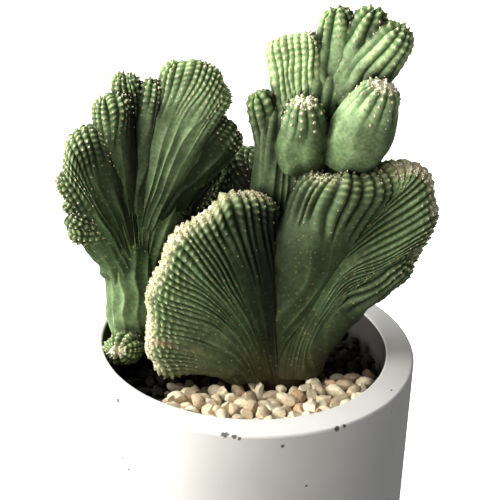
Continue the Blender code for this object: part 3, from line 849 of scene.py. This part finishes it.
class LobeSkin:
    """The fine skin of one lobe, worked out as a grid of places round it and up it.

    Lengths are in millimetres, and SCAR_WIDTH and GRAFT are shares of the crest and of the height.
    """

    MEAN_RIDGE = 0.7
    CAP_SPREAD = 0.35
    ROW_STEP = 0.68
    DOME_STEP = 0.45
    ROW_CROWDING = 0.62
    SLOPE_STEP = 0.02
    UNEVEN = 0.42
    LUMP = 0.3
    CREST_LUMP_LENGTH = 6
    FELT = 0.5
    FILLED = 0.5
    SCAR_WIDTH = 0.009
    GRAFT = 0.16
    CREASE_WIDTH = 3.2
    CREASE_STEP = 4

    def __init__(self, lobe: Lobe, seed: int) -> None:
        """Work the grid out.

        Args:
            lobe: The lobe's sizes.
            seed: What its small irregularities are drawn from.
        """
        self.lobe = lobe
        self.ribs: Ribs = lobe.ribs.value
        self.draw = np.random.default_rng(seed)
        ends = along(lobe.line, np.array([0.0, 1.0]))
        chord = ends[1] - ends[0]
        chord[2] = 0
        self.foot_way = unit(chord)
        half_round = math.pi * lobe.thickness[2]
        self.side_ribs = max(4, round((self.line_length(1) + half_round) / self.ribs.pitch))
        self.lay_columns()
        self.lay_rows()
        self.lay_skin()

    def sheet(self, across: np.ndarray, height: np.ndarray) -> np.ndarray:
        """Read the middle sheet.

        Args:
            across: From 0 at the start of the crest line to 1 at its end.
            height: From 0 at the foot to 1 at the crest line.

        Returns:
            A point for each pair of values.
        """
        across, height = np.broadcast_arrays(across, height)
        flat = across.ravel()
        up = height.ravel()[:, None]
        foot = np.array(self.lobe.foot) + ((2 * flat - 1) * self.lobe.foot_half)[:, None] * self.foot_way
        crest = along(self.lobe.line, flat)
        reach = np.linalg.norm(crest - foot, axis=1, keepdims=True)
        knee = foot + np.array(self.lobe.rise) * reach
        points = (1 - up) ** 2 * foot + 2 * up * (1 - up) * knee + up**2 * crest
        return points.reshape(*across.shape, 3)

    def half_thickness(self, height: np.ndarray) -> np.ndarray:
        """Half of the thickness at a height, on a smooth curve through its three values."""
        foot, middle, crest = self.lobe.thickness
        half = (
            foot * (1 - height) * (1 - 2 * height)
            + 4 * middle * height * (1 - height)
            + crest * height * (2 * height - 1)
        )
        return half * (0.3 + 0.7 * self.grafted(height))

    def grafted(self, height: np.ndarray) -> np.ndarray:
        """How fully grown the lobe is at a height.

        A lobe that springs from another one starts thin and smooth, so that it grows out of it.
        """
        if self.lobe.foot[2] < SOIL_TOP:
            return np.ones_like(height)
        return smoothstep(height / self.GRAFT)

    def line_length(self, height: float) -> float:
        """The length of the middle sheet's level line at a height."""
        line = self.sheet(np.linspace(0, 1, 40), np.array([height]))
        return float(np.linalg.norm(np.diff(line, axis=0), axis=1).sum())

    def cap_share(self, height: np.ndarray) -> np.ndarray:
        """The part of the ribs, at each height, that run down each rounded end."""
        samples = np.linspace(0, 1, 14)
        true = []
        for sample in samples:
            half_round = math.pi * self.half_thickness(sample)
            true.append(0.5 * half_round / (self.line_length(sample) + half_round))
        return true[-1] + self.CAP_SPREAD * (np.interp(height, samples, true) - true[-1])

    def lay_columns(self) -> None:
        """Lay out the columns, which stand evenly across each rib."""
        self.columns = max(4, round(self.ribs.columns * self.lobe.fine))
        half = self.side_ribs * self.columns
        index = np.arange(2 * half)
        self.share = np.where(index <= half, index, 2 * half - index) / half
        self.face = np.where(index <= half, 1.0, -1.0)
        dense = np.linspace(0, 1, 400)
        uneven = self.draw.uniform(-self.UNEVEN, self.UNEVEN, self.side_ribs + 1)
        crowd = np.interp(dense, np.linspace(0, 1, len(self.lobe.crowd)), self.lobe.crowd)
        crowd = crowd * np.exp(np.interp(dense, np.linspace(0, 1, len(uneven)), uneven))
        ribs_passed = np.concatenate([[0], np.cumsum((crowd[1:] + crowd[:-1]) / 2)])
        self.way = np.interp(self.share, ribs_passed / ribs_passed[-1], dense)

    def lay_rows(self) -> None:
        """Lay out the rows, from the foot up and over the rounded crown."""
        across = np.linspace(0, 1, 20)
        foot = self.sheet(across, np.array([0.0]))
        crest = self.sheet(across, np.array([1.0]))
        reach = float(np.linalg.norm(crest - foot, axis=1).max())
        fine = self.lobe.fine
        body_rows = max(24, round(1.05 * reach * fine / self.ROW_STEP))
        dome_rows = round(self.lobe.thickness[2] * math.pi / 2 * fine / self.DOME_STEP)
        body = np.linspace(0, 1, body_rows) ** self.ROW_CROWDING
        dome = np.linspace(0, math.pi / 2, dome_rows + 1)[1:]
        self.height = np.concatenate([body, np.ones(dome_rows)])[:, None]
        self.lean = np.concatenate([np.zeros(body_rows), dome])[:, None]

    def lay_skin(self) -> None:
        """Work out every place on the ribbed skin and the fields that its colours follow."""
        lobe, ribs, share = self.lobe, self.ribs, self.share
        height, lean = self.height, self.lean
        cells = (max(4, self.side_ribs // 2), 6)
        ease = np.clip(np.sin(math.pi * share), 0, 1)
        meander = soft_field(self.draw, share, height, cells) * ribs.meander
        broad = (max(2, self.side_ribs // 6), 3)
        meander += soft_field(self.draw, share, height, broad) * ribs.sway
        hub, pull = lobe.hub
        leaning = smoothstep((1 - height) / 0.4) * smoothstep(height / 0.6)
        lean_in = pull * (hub - share) * leaning * np.sqrt(ease)
        way = self.way + meander / self.side_ribs * ease + lean_in
        cap = self.cap_share(height)
        across = np.clip((way - cap) / (1 - 2 * cap), 0, 1)
        turn = np.clip(np.minimum(way, 1 - way) / cap, 0, 1) * math.pi / 2
        side = np.where(way < 0.5, -1.0, 1.0)

        step = self.SLOPE_STEP
        before = self.sheet(np.clip(across - step, 0, 1), height)
        after = self.sheet(np.clip(across + step, 0, 1), height)
        below = self.sheet(across, np.clip(height - step, 0, 1))
        above = self.sheet(across, np.clip(height + step, 0, 1))
        growth = unit(above - below)
        normal = unit(np.cross(after - before, growth))
        sideways = unit(np.cross(growth, normal))
        level = (side * np.cos(turn))[..., None] * sideways
        level += (self.face * np.sin(turn))[..., None] * normal
        outward = np.cos(lean)[..., None] * level + np.sin(lean)[..., None] * growth
        middle = self.sheet(across, height)
        humps = max(2, round(self.line_length(1) / self.CREST_LUMP_LENGTH))
        hump = soft_field(self.draw, across, np.zeros_like(height), (humps, 1))
        middle += (lobe.lump * hump * smoothstep((height - 0.7) / 0.3))[..., None] * growth
        plain = middle + self.half_thickness(height)[..., None] * outward
        steps = np.linalg.norm(np.diff(plain, axis=0), axis=-1)
        down = np.concatenate([np.cumsum(steps[::-1], axis=0)[::-1], np.zeros((1, len(share)))])

        phase = share * self.side_ribs
        ridge = np.abs(np.sin(math.pi * phase)) ** ribs.fullness
        rib = np.minimum(np.floor(phase).astype(int), self.side_ribs - 1)
        stagger = self.draw.uniform(-0.5, 0.5, self.side_ribs)
        stretch = self.draw.uniform(0.85, 1.15, self.side_ribs)
        aged = np.log1p(ribs.growth * down / ribs.knob_pitch) / ribs.growth
        self.knob_phase = aged * stretch[rib] + stagger[rib]
        swell = (0.5 - 0.5 * np.cos(math.tau * self.knob_phase)) ** 1.4
        zone = 1 - smoothstep(down / ribs.knob_zone)
        vary = 1 + 0.3 * soft_field(self.draw, share, height, (self.side_ribs, 14))

        smooth = self.stations(lobe.smooth or (ribs.start,))
        shortness = self.draw.random(self.side_ribs + 1) ** 1.5
        ends = smooth + ribs.spread * (1 - smooth) * shortness[np.rint(phase).astype(int)]
        deep = smoothstep((height - ends) / ribs.rise)
        rooted = smoothstep((height - smooth) / ribs.rise)
        felt = self.stations(lobe.wool) * smoothstep(1.1 - down / lobe.wool_zone)
        rim = np.cos(lean) ** 0.35 * (1 - self.FILLED * felt)
        wave = rim * ribs.depth * vary * deep * (ridge - self.MEAN_RIDGE)
        wave += rim * ribs.knob * vary * rooted * (0.12 + 0.88 * zone) * (swell * ridge - 0.35)
        folds = np.abs(np.sin(math.pi * phase * ribs.pitch / ribs.fold_pitch)) ** 0.7
        buried = smoothstep(height / 0.2)
        strength = 0.6 + 0.6 * soft_field(self.draw, share, height, (max(3, self.side_ribs // 3), 5))
        vein = (1 - folds) * (1 - rooted) * strength
        wave += ribs.fold_depth * buried * (vein - 0.3 * (1 - rooted))
        wave += self.LUMP * soft_field(self.draw, share, height, (9, 9)) * np.cos(lean)
        grain = (self.side_ribs * 3, len(height) // 3)
        wave += self.FELT * felt * np.cos(lean) * soft_field(self.draw, share, height, grain)
        reach = self.half_thickness(height) + wave * (0.1 + 0.9 * self.grafted(height))
        self.places = (middle + reach[..., None] * outward) * MM
        self.outward = outward
        self.down = down

        patchy = 0.75 + 0.45 * soft_field(self.draw, share, height, (self.side_ribs, 20))
        self.woolly = np.clip(self.stations(lobe.wool) * patchy, 0, 1)
        self.woolly *= smoothstep(1.15 - down / lobe.wool_zone)
        foot_tone, crown_tone = lobe.tone
        scarred = np.zeros_like(down)
        if lobe.scar is not None:
            strayed = share + 0.02 * soft_field(self.draw, share, height, (3, 9)) - lobe.scar
            scarred = np.exp(-((strayed / self.SCAR_WIDTH) ** 2)) * smoothstep((height - 0.7) / 0.2)
            scarred *= smoothstep(0.75 + 0.5 * soft_field(self.draw, share, height, (40, 12)))
        # The stain is partly old scarred skin and partly painted shade where the lobe lies in shadow.
        stained_and_shaded = np.clip(self.stations(lobe.stain) * smoothstep(height / 0.3), 0, 1)
        self.fields = {
            # ridge is high on ridges, knobs and veins and low in grooves and between knobs. It paints
            # shade into the relief.
            "ridge": 0.6 + deep * (ridge * (1 - 0.75 * zone * (1 - swell)) - 0.6) + 0.35 * vein,
            "tip": 0.85 * rooted * (0.1 + 0.9 * zone) * np.clip(swell * ridge, 0, 1) ** 2,
            "young": foot_tone + (crown_tone - foot_tone) * height**1.8 + 0.12 * vein * buried,
            "wool": self.woolly,
            "bare": 1 - np.broadcast_to(rooted, down.shape),
            "stain": stained_and_shaded * smoothstep((down - 3) / 8),
            "scar": scarred,
        }

    def stations(self, values: Sequence[float]) -> np.ndarray:
        """Read values that stand at even stations along the crest, for each column."""
        return np.interp(self.share, np.linspace(0, 1, len(values)), values)

    def crease(self, others: Sequence[BVHTree]) -> np.ndarray:
        """How tightly other lobes stand against this one, which sets the painted shade in the creases
        between lobes.

        Args:
            others: The search trees of the other lobes.

        Returns:
            For each place, from 0 in the open to 1 where another lobe touches it.
        """
        step = self.CREASE_STEP
        rows, columns = self.places.shape[:2]
        picked_rows = np.arange(0, rows, step)
        picked_columns = np.arange(0, columns, step)
        near = np.zeros((len(picked_rows), len(picked_columns)))
        for i, row in enumerate(picked_rows):
            for j, column in enumerate(picked_columns):
                place = Vector(self.places[row, column].tolist())
                outward = Vector(self.outward[row, column].tolist())
                for tree in others:
                    nearest, facing, _, distance = tree.find_nearest(place, 3 * self.CREASE_WIDTH * MM)
                    if nearest is None or (place - nearest).dot(facing) < 0:
                        continue
                    towards = (nearest - place).dot(outward) / max(distance, 0.01 * MM)
                    faced = min(1.0, max(0.0, 1 + towards / 0.7))
                    closeness = math.exp(-((distance / MM / self.CREASE_WIDTH) ** 2))
                    near[i, j] = max(near[i, j], closeness * faced)
        across = np.array([np.interp(np.arange(columns), picked_columns, line) for line in near])
        return np.array([np.interp(np.arange(rows), picked_rows, line) for line in across.T]).T

    def wander(self) -> None:
        """Let every place stray as the CAD's flesh does there."""
        flat = self.places.reshape(-1, 3)
        strays = [noise.noise_vector(Vector(place) / WANDER_LENGTH)[:] for place in flat.tolist()]
        self.places = (flat + WANDER * np.array(strays)).reshape(self.places.shape)

    def build(self, name: str) -> bpy.types.Object:
        """Make the skin: a flat grid is bent to its places and closed at seam, crown and foot.

        Args:
            name: The piece's name.

        Returns:
            The piece.
        """
        rows, columns = self.down.shape
        bm = bmesh.new()
        bmesh.ops.create_grid(bm, x_segments=columns, y_segments=rows - 1, size=1)
        closed = np.concatenate([self.places, self.places[:, :1]], axis=1).reshape(-1, 3)
        for vert, place in zip(bm.verts, closed.tolist()):
            vert.co = place
        for key, values in self.fields.items():
            layer = bm.verts.layers.float.new(key)
            wrapped = np.concatenate([values, values[:, :1]], axis=1).ravel()
            for vert, value in zip(bm.verts, wrapped.tolist()):
                vert[layer] = value
        verts = list(bm.verts)
        width = columns + 1
        seam = verts[0::width] + verts[width - 1 :: width]
        crown = verts[-width:]
        bottom = set(verts[:width])
        foot = [edge for edge in bm.edges if bottom.issuperset(edge.verts)]
        # Each vertex once and in order, because a set's order changes from run to run.
        joined = list(dict.fromkeys(seam + crown))
        bmesh.ops.remove_doubles(bm, verts=joined, dist=0.002 * MM)
        bmesh.ops.holes_fill(bm, edges=[edge for edge in foot if edge.is_valid])
        bmesh.ops.recalc_face_normals(bm, faces=bm.faces)
        return finished(bm, name)

    def coarse_tree(self) -> BVHTree:
        """A search tree over every few places of the skin, to tell what is buried in it."""
        rows = self.places[::4]
        columns = rows.shape[1] // 4
        thinned = rows[:, ::4][:, :columns]
        points = [Vector(place) for place in thinned.reshape(-1, 3).tolist()]
        faces = []
        for row in range(len(rows) - 1):
            for column in range(columns):
                beside = (column + 1) % columns
                low, high = row * columns, (row + 1) * columns
                faces.append((low + column, low + beside, high + beside, high + column))
        return BVHTree.FromPolygons(points, faces)

    def areoles(self) -> list[Tuft]:
        """The small tufts on the knobs of every rib, fewer the older the rib is."""
        tufts = []
        columns = self.columns
        total = len(self.share)
        ridge_columns = [rib * columns + columns // 2 for rib in range(self.side_ribs)]
        for column in ridge_columns + [total - column for column in ridge_columns]:
            phases = self.knob_phase[:, column]
            for knob in np.arange(math.ceil(phases.min()), phases.max()) + 0.5:
                row = int(np.abs(phases - knob).argmin())
                if self.fields["bare"][row, column] > 0.6 or self.lean[row, 0] > 1.3:
                    continue
                lost = 0.06 + 0.02 * self.down[row, column] / 3 + 0.6 * self.fields["stain"][row, column]
                if self.draw.random() < lost:
                    continue
                large = self.lobe.areole
                young = math.exp(-self.down[row, column] / (12 * large))
                size = large * (0.16 + 0.12 * young + self.draw.uniform(-0.05, 0.12)) * MM
                fresh = young * (1 - self.draw.beta(1.3, 1.3) / large)
                tufts.append(self.tuft(row, column, size, 1 - fresh))
        return tufts

    def locks(self) -> list[Tuft]:
        """The locks of wool that felt together along the crown."""
        amount = self.woolly * (self.lean < 1.5)
        cells = np.argwhere(amount > 0.12)
        chances = 0.9 * amount[amount > 0.12] ** 1.5
        kept = cells[self.draw.random(len(cells)) < chances]
        age = 2 * self.lobe.wool_age
        return [
            self.tuft(row, column, self.draw.uniform(0.15, 0.4) * MM, self.draw.beta(age, 2 - age))
            for row, column in kept
        ]

    def tuft(self, row: int, column: int, radius: float, age: float) -> Tuft:
        """One tuft at a place of the grid."""
        place = Vector(self.places[row, column].tolist())
        return Tuft(place, Vector(self.outward[row, column].tolist()), radius, age)


def finished(bm: bmesh.types.BMesh, name: str, sharp: float = 180) -> bpy.types.Object:
    """Turn a bmesh into a piece at the origin.

    Args:
        bm: The shape, which is freed.
        name: The piece's name.
        sharp: The angle above which an edge stays sharp, in degrees.

    Returns:
        The piece.
    """
    mesh = bpy.data.meshes.new(name)
    bm.to_mesh(mesh)
    bm.free()
    mesh.shade_smooth()
    if sharp < 180:
        mesh.set_sharp_from_angle(angle=math.radians(sharp))
    piece = bpy.data.objects.new(name, mesh)
    bpy.context.scene.collection.objects.link(piece)
    return piece


def add_part(whole: bmesh.types.BMesh, part: bmesh.types.BMesh) -> None:
    """Add a small bmesh to a large one and free it, because operators are slow in a large one."""
    carrier = bpy.data.meshes.new("carrier")
    part.to_mesh(carrier)
    part.free()
    whole.from_mesh(carrier)
    bpy.data.meshes.remove(carrier)


def dress(piece: bpy.types.Object, finish: bpy.types.Material, node: str) -> None:
    """Give a piece its material and let it stand for a node.

    Args:
        piece: The piece.
        finish: Its material.
        node: The CAD node that it replaces, which is hidden.
    """
    piece.data.materials.clear()
    piece.data.materials.append(finish)
    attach(piece, BODY)
    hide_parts(node)
    LOG.info("%s: %d faces", piece.name, len(piece.data.polygons))


@dataclass
class Plant:
    """One stem with all its lobes, its areoles and its wool."""

    node: str
    lobes: dict[str, Lobe]
    root: Root
    skin: CactusSkin
    seed: int
    root_bottom: float = 74 * MM
    root_top: float = 108 * MM
    crease_shade_strength: float = 0.95
    burial_reach: float = 12 * MM
    burial_depth: float = 0.2 * MM
    skins: dict[str, LobeSkin] = field(default_factory=dict)

    def build(self, wool: bpy.types.Material) -> None:
        """Build every piece of the plant.

        Args:
            wool: The material of the areoles and the wool.
        """
        finish = self.skin.build()
        for index, (name, lobe) in enumerate(self.lobes.items()):
            self.skins[name] = LobeSkin(lobe, self.seed + index)
            self.skins[name].wander()
        dress(self.build_root(), finish, self.node)
        trees = {name: skin.coarse_tree() for name, skin in self.skins.items()}
        areoles, locks = [], []
        for name, skin in self.skins.items():
            others = [tree for other, tree in trees.items() if other != name]
            # The crease mark is painted shade where other lobes stand close.
            skin.fields["crease"] = self.crease_shade_strength * skin.crease(others)
            dress(skin.build(f"{self.node}_{name}"), finish, self.node)
            areoles += [tuft for tuft in skin.areoles() if not self.buried(tuft, others)]
            locks += [tuft for tuft in skin.locks() if not self.buried(tuft, others)]
        dress(self.build_tufts("areoles", areoles), wool, self.node)
        if locks:
            dress(self.build_tufts("wool", locks), wool, self.node)

    def buried(self, tuft: Tuft, trees: Sequence[BVHTree]) -> bool:
        """Whether a tuft lies under the skin of another lobe."""
        for tree in trees:
            nearest, outward, _, distance = tree.find_nearest(tuft.place, self.burial_reach)
            if nearest is None or distance <= self.burial_depth:
                continue
            if (tuft.place - nearest).dot(outward) < 0:
                return True
        return False

    def build_root(self) -> bpy.types.Object:
        """Build the root plug, which stands in the soil below the flesh."""
        bm = bmesh.new()
        height = self.root_top - self.root_bottom
        centre = Vector((*self.root.centre, 0)) * MM
        centre.z = self.root_bottom + height / 2
        halves = [half * MM for half in self.root.halves]
        shape = Matrix.Translation(centre) @ Matrix.Diagonal((*halves, 1, 1))
        bmesh.ops.create_cone(
            bm, cap_ends=True, segments=48, radius1=1, radius2=1, depth=height, matrix=shape
        )
        return finished(bm, f"{self.node}_root", 40)

    def build_tufts(self, kind: str, tufts: Sequence[Tuft]) -> bpy.types.Object:
        """Build tufts as small rough balls, flattened on the skin.

        Args:
            kind: What they are, for the piece's name.
            tufts: The tufts.

        Returns:
            One piece with them all.
        """
        draw = random.Random(self.seed)
        whole = bmesh.new()
        for tuft in tufts:
            bm = bmesh.new()
            age = bm.verts.layers.float.new("age")
            turned = tuft.outward.to_track_quat("Z", "Y").to_matrix().to_4x4()
            spin = Matrix.Rotation(draw.uniform(0, math.tau), 4, "Z")
            size = Matrix.Diagonal(
                (tuft.radius * draw.uniform(0.8, 1.2), tuft.radius * draw.uniform(0.8, 1.2),
                 tuft.radius * draw.uniform(0.7, 1.1), 1)
            )
            shape = Matrix.Translation(tuft.place) @ turned @ spin @ size
            made = bmesh.ops.create_icosphere(bm, subdivisions=1, radius=1, matrix=shape)
            for vert in made["verts"]:
                vert[age] = tuft.age
            add_part(whole, bm)
        return finished(whole, f"{self.node}_{kind}")


@dataclass
class Gravel:
    """The bed of stone chips, laid in two loose layers inside the pot's hole."""

    chip: float = 3.4 * MM
    pitch: float = 5.2 * MM
    layers: Sequence[float] = (96.3 * MM, 99.3 * MM)
    hole_radius: float = 50.6 * MM
    seed: int = 21

    def build(self, roots: Sequence[Root]) -> bpy.types.Object:
        """Lay the chips.

        Args:
            roots: The root plugs, which the chips keep clear of.

        Returns:
            One piece with all the chips.
        """
        draw = random.Random(self.seed)
        bed = bmesh.new()
        reach = math.ceil(self.hole_radius / self.pitch) + 1
        for layer in self.layers:
            for row in range(-reach, reach + 1):
                for column in range(-reach, reach + 1):
                    x = (column + 0.5 * (row % 2)) * self.pitch + draw.uniform(-1, 1) * 0.3 * self.pitch
                    y = row * self.pitch * 0.87 + draw.uniform(-1, 1) * 0.3 * self.pitch
                    size = self.chip * draw.uniform(0.72, 1.15)
                    place = Vector((x, y, layer + draw.uniform(-0.8, 0.8) * MM))
                    if place.xy.length > self.hole_radius - 0.9 * size:
                        continue
                    place += HOLE_SHIFT
                    if any(self.meets(root, place) for root in roots):
                        continue
                    add_part(bed, self.chip_shape(draw, place, size * (1 - 0.25 * self.soiled_and_shaded(place))))
        return finished(bed, "gravel_chips", 30)

    def soiled_and_shaded(self, place: Vector) -> float:
        """How darkly the chips are painted at a place, partly as soil on them and partly as painted
        shade: the rim's shadow at the left and the plants' shadow behind. They are clean and unshaded
        only in front of the stems.
        """
        x, y = place.x / MM, place.y / MM
        left = smoothstep(np.float64(-26 - x) / 5)
        behind = smoothstep(np.float64(y + 14 - 0.25 * x) / 8)
        return float(max(left, behind))

    def meets(self, root: Root, place: Vector) -> bool:
        """Whether a chip at a place would stand in a root plug."""
        across = [(place[i] / MM - root.centre[i]) / (root.halves[i] + 1.5) for i in (0, 1)]
        return across[0] ** 2 + across[1] ** 2 < 1

    def chip_shape(self, draw: random.Random, place: Vector, size: float) -> bmesh.types.BMesh:
        """Shape one chip: a ball struck flat on a few sides and stretched.

        Args:
            draw: The seeded source of the numbers.
            place: The chip's centre.
            size: Its mean radius.

        Returns:
            The chip, whose vertices hold its own shade.
        """
        bm = bmesh.new()
        shade = bm.verts.layers.float.new("shade")
        earth = bm.verts.layers.float.new("earth")
        turn = Matrix.Rotation(draw.uniform(0, math.tau), 4, "Z")
        tip = Matrix.Rotation(draw.uniform(-0.5, 0.5), 4, "X")
        made = bmesh.ops.create_icosphere(bm, subdivisions=2, radius=1)["verts"]
        for _ in range(5):
            way = Vector((draw.gauss(0, 1), draw.gauss(0, 1), draw.gauss(0, 1))).normalized()
            cut = draw.uniform(0.45, 0.8)
            for vert in made:
                over = vert.co.dot(way) - cut
                if over > 0:
                    vert.co -= way * over
        stretch = Matrix.Diagonal(
            (draw.uniform(0.95, 1.35), draw.uniform(0.75, 1), draw.uniform(0.7, 0.95), 1)
        )
        shape = Matrix.Translation(place) @ turn @ tip @ Matrix.Scale(size, 4) @ stretch
        bmesh.ops.transform(bm, matrix=shape, verts=made)
        own = draw.betavariate(1.2, 2.2)
        soiled_and_shaded = self.soiled_and_shaded(place)
        for vert in made:
            vert[shade] = own
            vert[earth] = soiled_and_shaded
        return bm


@dataclass
class Pot:
    """A cast cement cylinder whose hole stands a little off its middle."""

    radius: float = 60 * MM
    height: float = 110 * MM
    floor: float = 9 * MM
    hole_radius: float = 51.3 * MM
    hole_taper: float = 1.8 * MM
    outer_edge: float = 1.1 * MM
    inner_edge: float = 0.8 * MM
    sides: int = 180

    def edge_arc(self, radius: float, height: float, edge: float, start: float) -> list[Point]:
        """The points of a rounded edge in the turned profile.

        Args:
            radius: The distance of the arc's centre from the axis.
            height: The height of the arc's centre.
            edge: The arc's own radius.
            start: The angle where the quarter turn starts, in degrees.

        Returns:
            The points, anticlockwise, at Y = 0.
        """
        turns = [math.radians(start + 90 * i / 6) for i in range(7)]
        return [(radius + edge * math.cos(t), 0, height + edge * math.sin(t)) for t in turns]

    def build(self) -> bpy.types.Object:
        """Spin the profile and shift the hole off centre."""
        outer, inner = self.outer_edge, self.inner_edge
        outside = [(0.001 * MM, 0, 0)]
        outside += self.edge_arc(self.radius - outer, outer, outer, -90)
        outside += [(self.radius, 0, self.height * share) for share in (0.25, 0.5, 0.75)]
        outside += self.edge_arc(self.radius - outer, self.height - outer, outer, 0)
        inside = self.edge_arc(self.hole_radius + inner, self.height - inner, inner, 90)
        depth = self.height - self.floor
        inside += [
            (self.hole_radius - self.hole_taper * share, 0, self.height - depth * share)
            for share in (0.04, 0.08, 0.12, 0.4, 1)
        ]
        inside.append((0.001 * MM, 0, self.floor))
        bm = bmesh.new()
        damp = bm.verts.layers.float.new("damp")
        profile = []
        for point in outside + inside:
            vert = bm.verts.new(point)
            # Below the rim the inner wall is marked for its darkness, which is partly a damp-soil stain
            # and partly painted shade.
            damp_and_shaded = point in inside and point[2] < self.height - 0.6 * MM
            vert[damp] = 1.0 if damp_and_shaded else 0.0
            profile.append(vert)
        edges = [bm.edges.new(pair) for pair in zip(profile, profile[1:])]
        bmesh.ops.spin(
            bm, geom=profile + edges, axis=(0, 0, 1), cent=(0, 0, 0), dvec=(0, 0, 0),
            angle=math.tau, steps=self.sides, use_merge=True,
        )
        bmesh.ops.remove_doubles(bm, verts=bm.verts, dist=0.01 * MM)
        for vert in bm.verts:
            within = vert.co.xy.length < self.hole_radius + inner + 0.01 * MM
            if within and vert.co.z > self.floor - 0.01 * MM:
                vert.co += HOLE_SHIFT
        bmesh.ops.recalc_face_normals(bm, faces=bm.faces)
        return finished(bm, "pot_shell", 50)


@dataclass
class Studio:
    """A pale floor, soft lights and the camera."""

    camera_place: Point = (0.0, -0.6897, 0.5154)
    aim: Point = (-0.0014, 0.0176, 0.1399)
    roll: float = 3.5
    lens: float = 159.48
    sensor: float = 36.0
    light_aim: Point = (0.0, 0.0, 0.15)
    floor_half: float = 20
    floor_glow: float = 0.75
    sky_glow: float = 0.28

    def build(self) -> None:
        """Build the whole studio."""
        self.build_floor()
        self.add_light("key", (-0.44, -0.01, 0.34), 0.5, 10.2, "#fffdf8")
        self.add_light("fill", (-0.6, -0.8, 0.35), 0.5, 6.0, "#fff8ed")
        self.add_light("back", (-0.3, 0.9, 0.9), 0.8, 2.0, "#ffffff")
        self.build_world()
        self.build_camera()
        bpy.context.scene.view_settings.view_transform = "Standard"

    def build_floor(self) -> None:
        """Lay a wide pale floor."""
        bm = bmesh.new()
        bmesh.ops.create_grid(bm, x_segments=1, y_segments=1, size=self.floor_half)
        floor = finished(bm, "floor")
        paint = bpy.data.materials.new("pale_floor")
        paint.use_nodes = True
        shader = paint.node_tree.nodes["Principled BSDF"]
        shader.inputs["Base Color"].default_value = linear("#f6f6f6")
        shader.inputs["Roughness"].default_value = 0.9
        shader.inputs["Emission Color"].default_value = (1, 1, 1, 1)
        shader.inputs["Emission Strength"].default_value = self.floor_glow
        floor.data.materials.append(paint)
        floor.visible_diffuse = False
        floor.visible_glossy = False

    def add_light(self, name: str, place: Point, size: float, power: float, colour: str) -> None:
        """Hang a square soft light that faces the plant.

        Args:
            name: Its name.
            place: Where it hangs.
            size: The length of its side.
            power: Its power in watts.
            colour: Its colour.
        """
        lamp = bpy.data.lights.new(name, "AREA")
        lamp.size = size
        lamp.energy = power
        lamp.color = linear(colour)[:3]
        light = bpy.data.objects.new(name, lamp)
        light.location = place
        way = Vector(self.light_aim) - Vector(place)
        light.rotation_euler = way.to_track_quat("-Z", "Y").to_euler()
        bpy.context.scene.collection.objects.link(light)

    def build_world(self) -> None:
        """Make the surroundings plain and pale."""
        world = bpy.data.worlds.new("surroundings")
        world.use_nodes = True
        sky = world.node_tree.nodes["Background"]
        sky.inputs["Color"].default_value = (1, 1, 1, 1)
        sky.inputs["Strength"].default_value = self.sky_glow
        bpy.context.scene.world = world

    def build_camera(self) -> None:
        """Set the camera as the photograph was taken: from above, a little tilted."""
        data = bpy.data.cameras.new("camera")
        data.lens = self.lens
        data.sensor_width = self.sensor
        camera = bpy.data.objects.new("camera", data)
        way = Vector(self.aim) - Vector(self.camera_place)
        level = way.to_track_quat("-Z", "Y").to_matrix().to_4x4()
        tilt = Matrix.Rotation(math.radians(self.roll), 4, "Z")
        camera.matrix_world = Matrix.Translation(self.camera_place) @ level @ tilt
        bpy.context.scene.collection.objects.link(camera)
        bpy.context.scene.camera = camera


def main() -> None:
    """Build the plant, the gravel, the pot and the studio, and note the sizes."""
    logging.basicConfig(level=logging.INFO, format="%(name)s: %(message)s")
    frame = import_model()
    noise.seed_set(WANDER_SEED)

    main_root = Root(centre=(8, 1), halves=(15, 10))
    left_root = Root(centre=(-40.5, 8), halves=(6, 6))
    wool = PlantWool().build()
    Plant("crest_main", MAIN_LOBES, main_root, CactusSkin("old_cactus_skin"), 100).build(wool)
    left_skin = CactusSkin("stem_cactus_skin", cork_share=0.15)
    Plant("crest_left", LEFT_LOBES, left_root, left_skin, 300).build(wool)
    dress(Gravel().build((main_root, left_root)), StoneChips().build(), "gravel")
    dress(Pot().build(), CastCement().build(), "pot")
    soil = frame["nodes"]["soil"]
    soil.data.materials.clear()
    soil.data.materials.append(DampSoil().build())
    Studio().build()


if __name__ == "__main__":
    main()
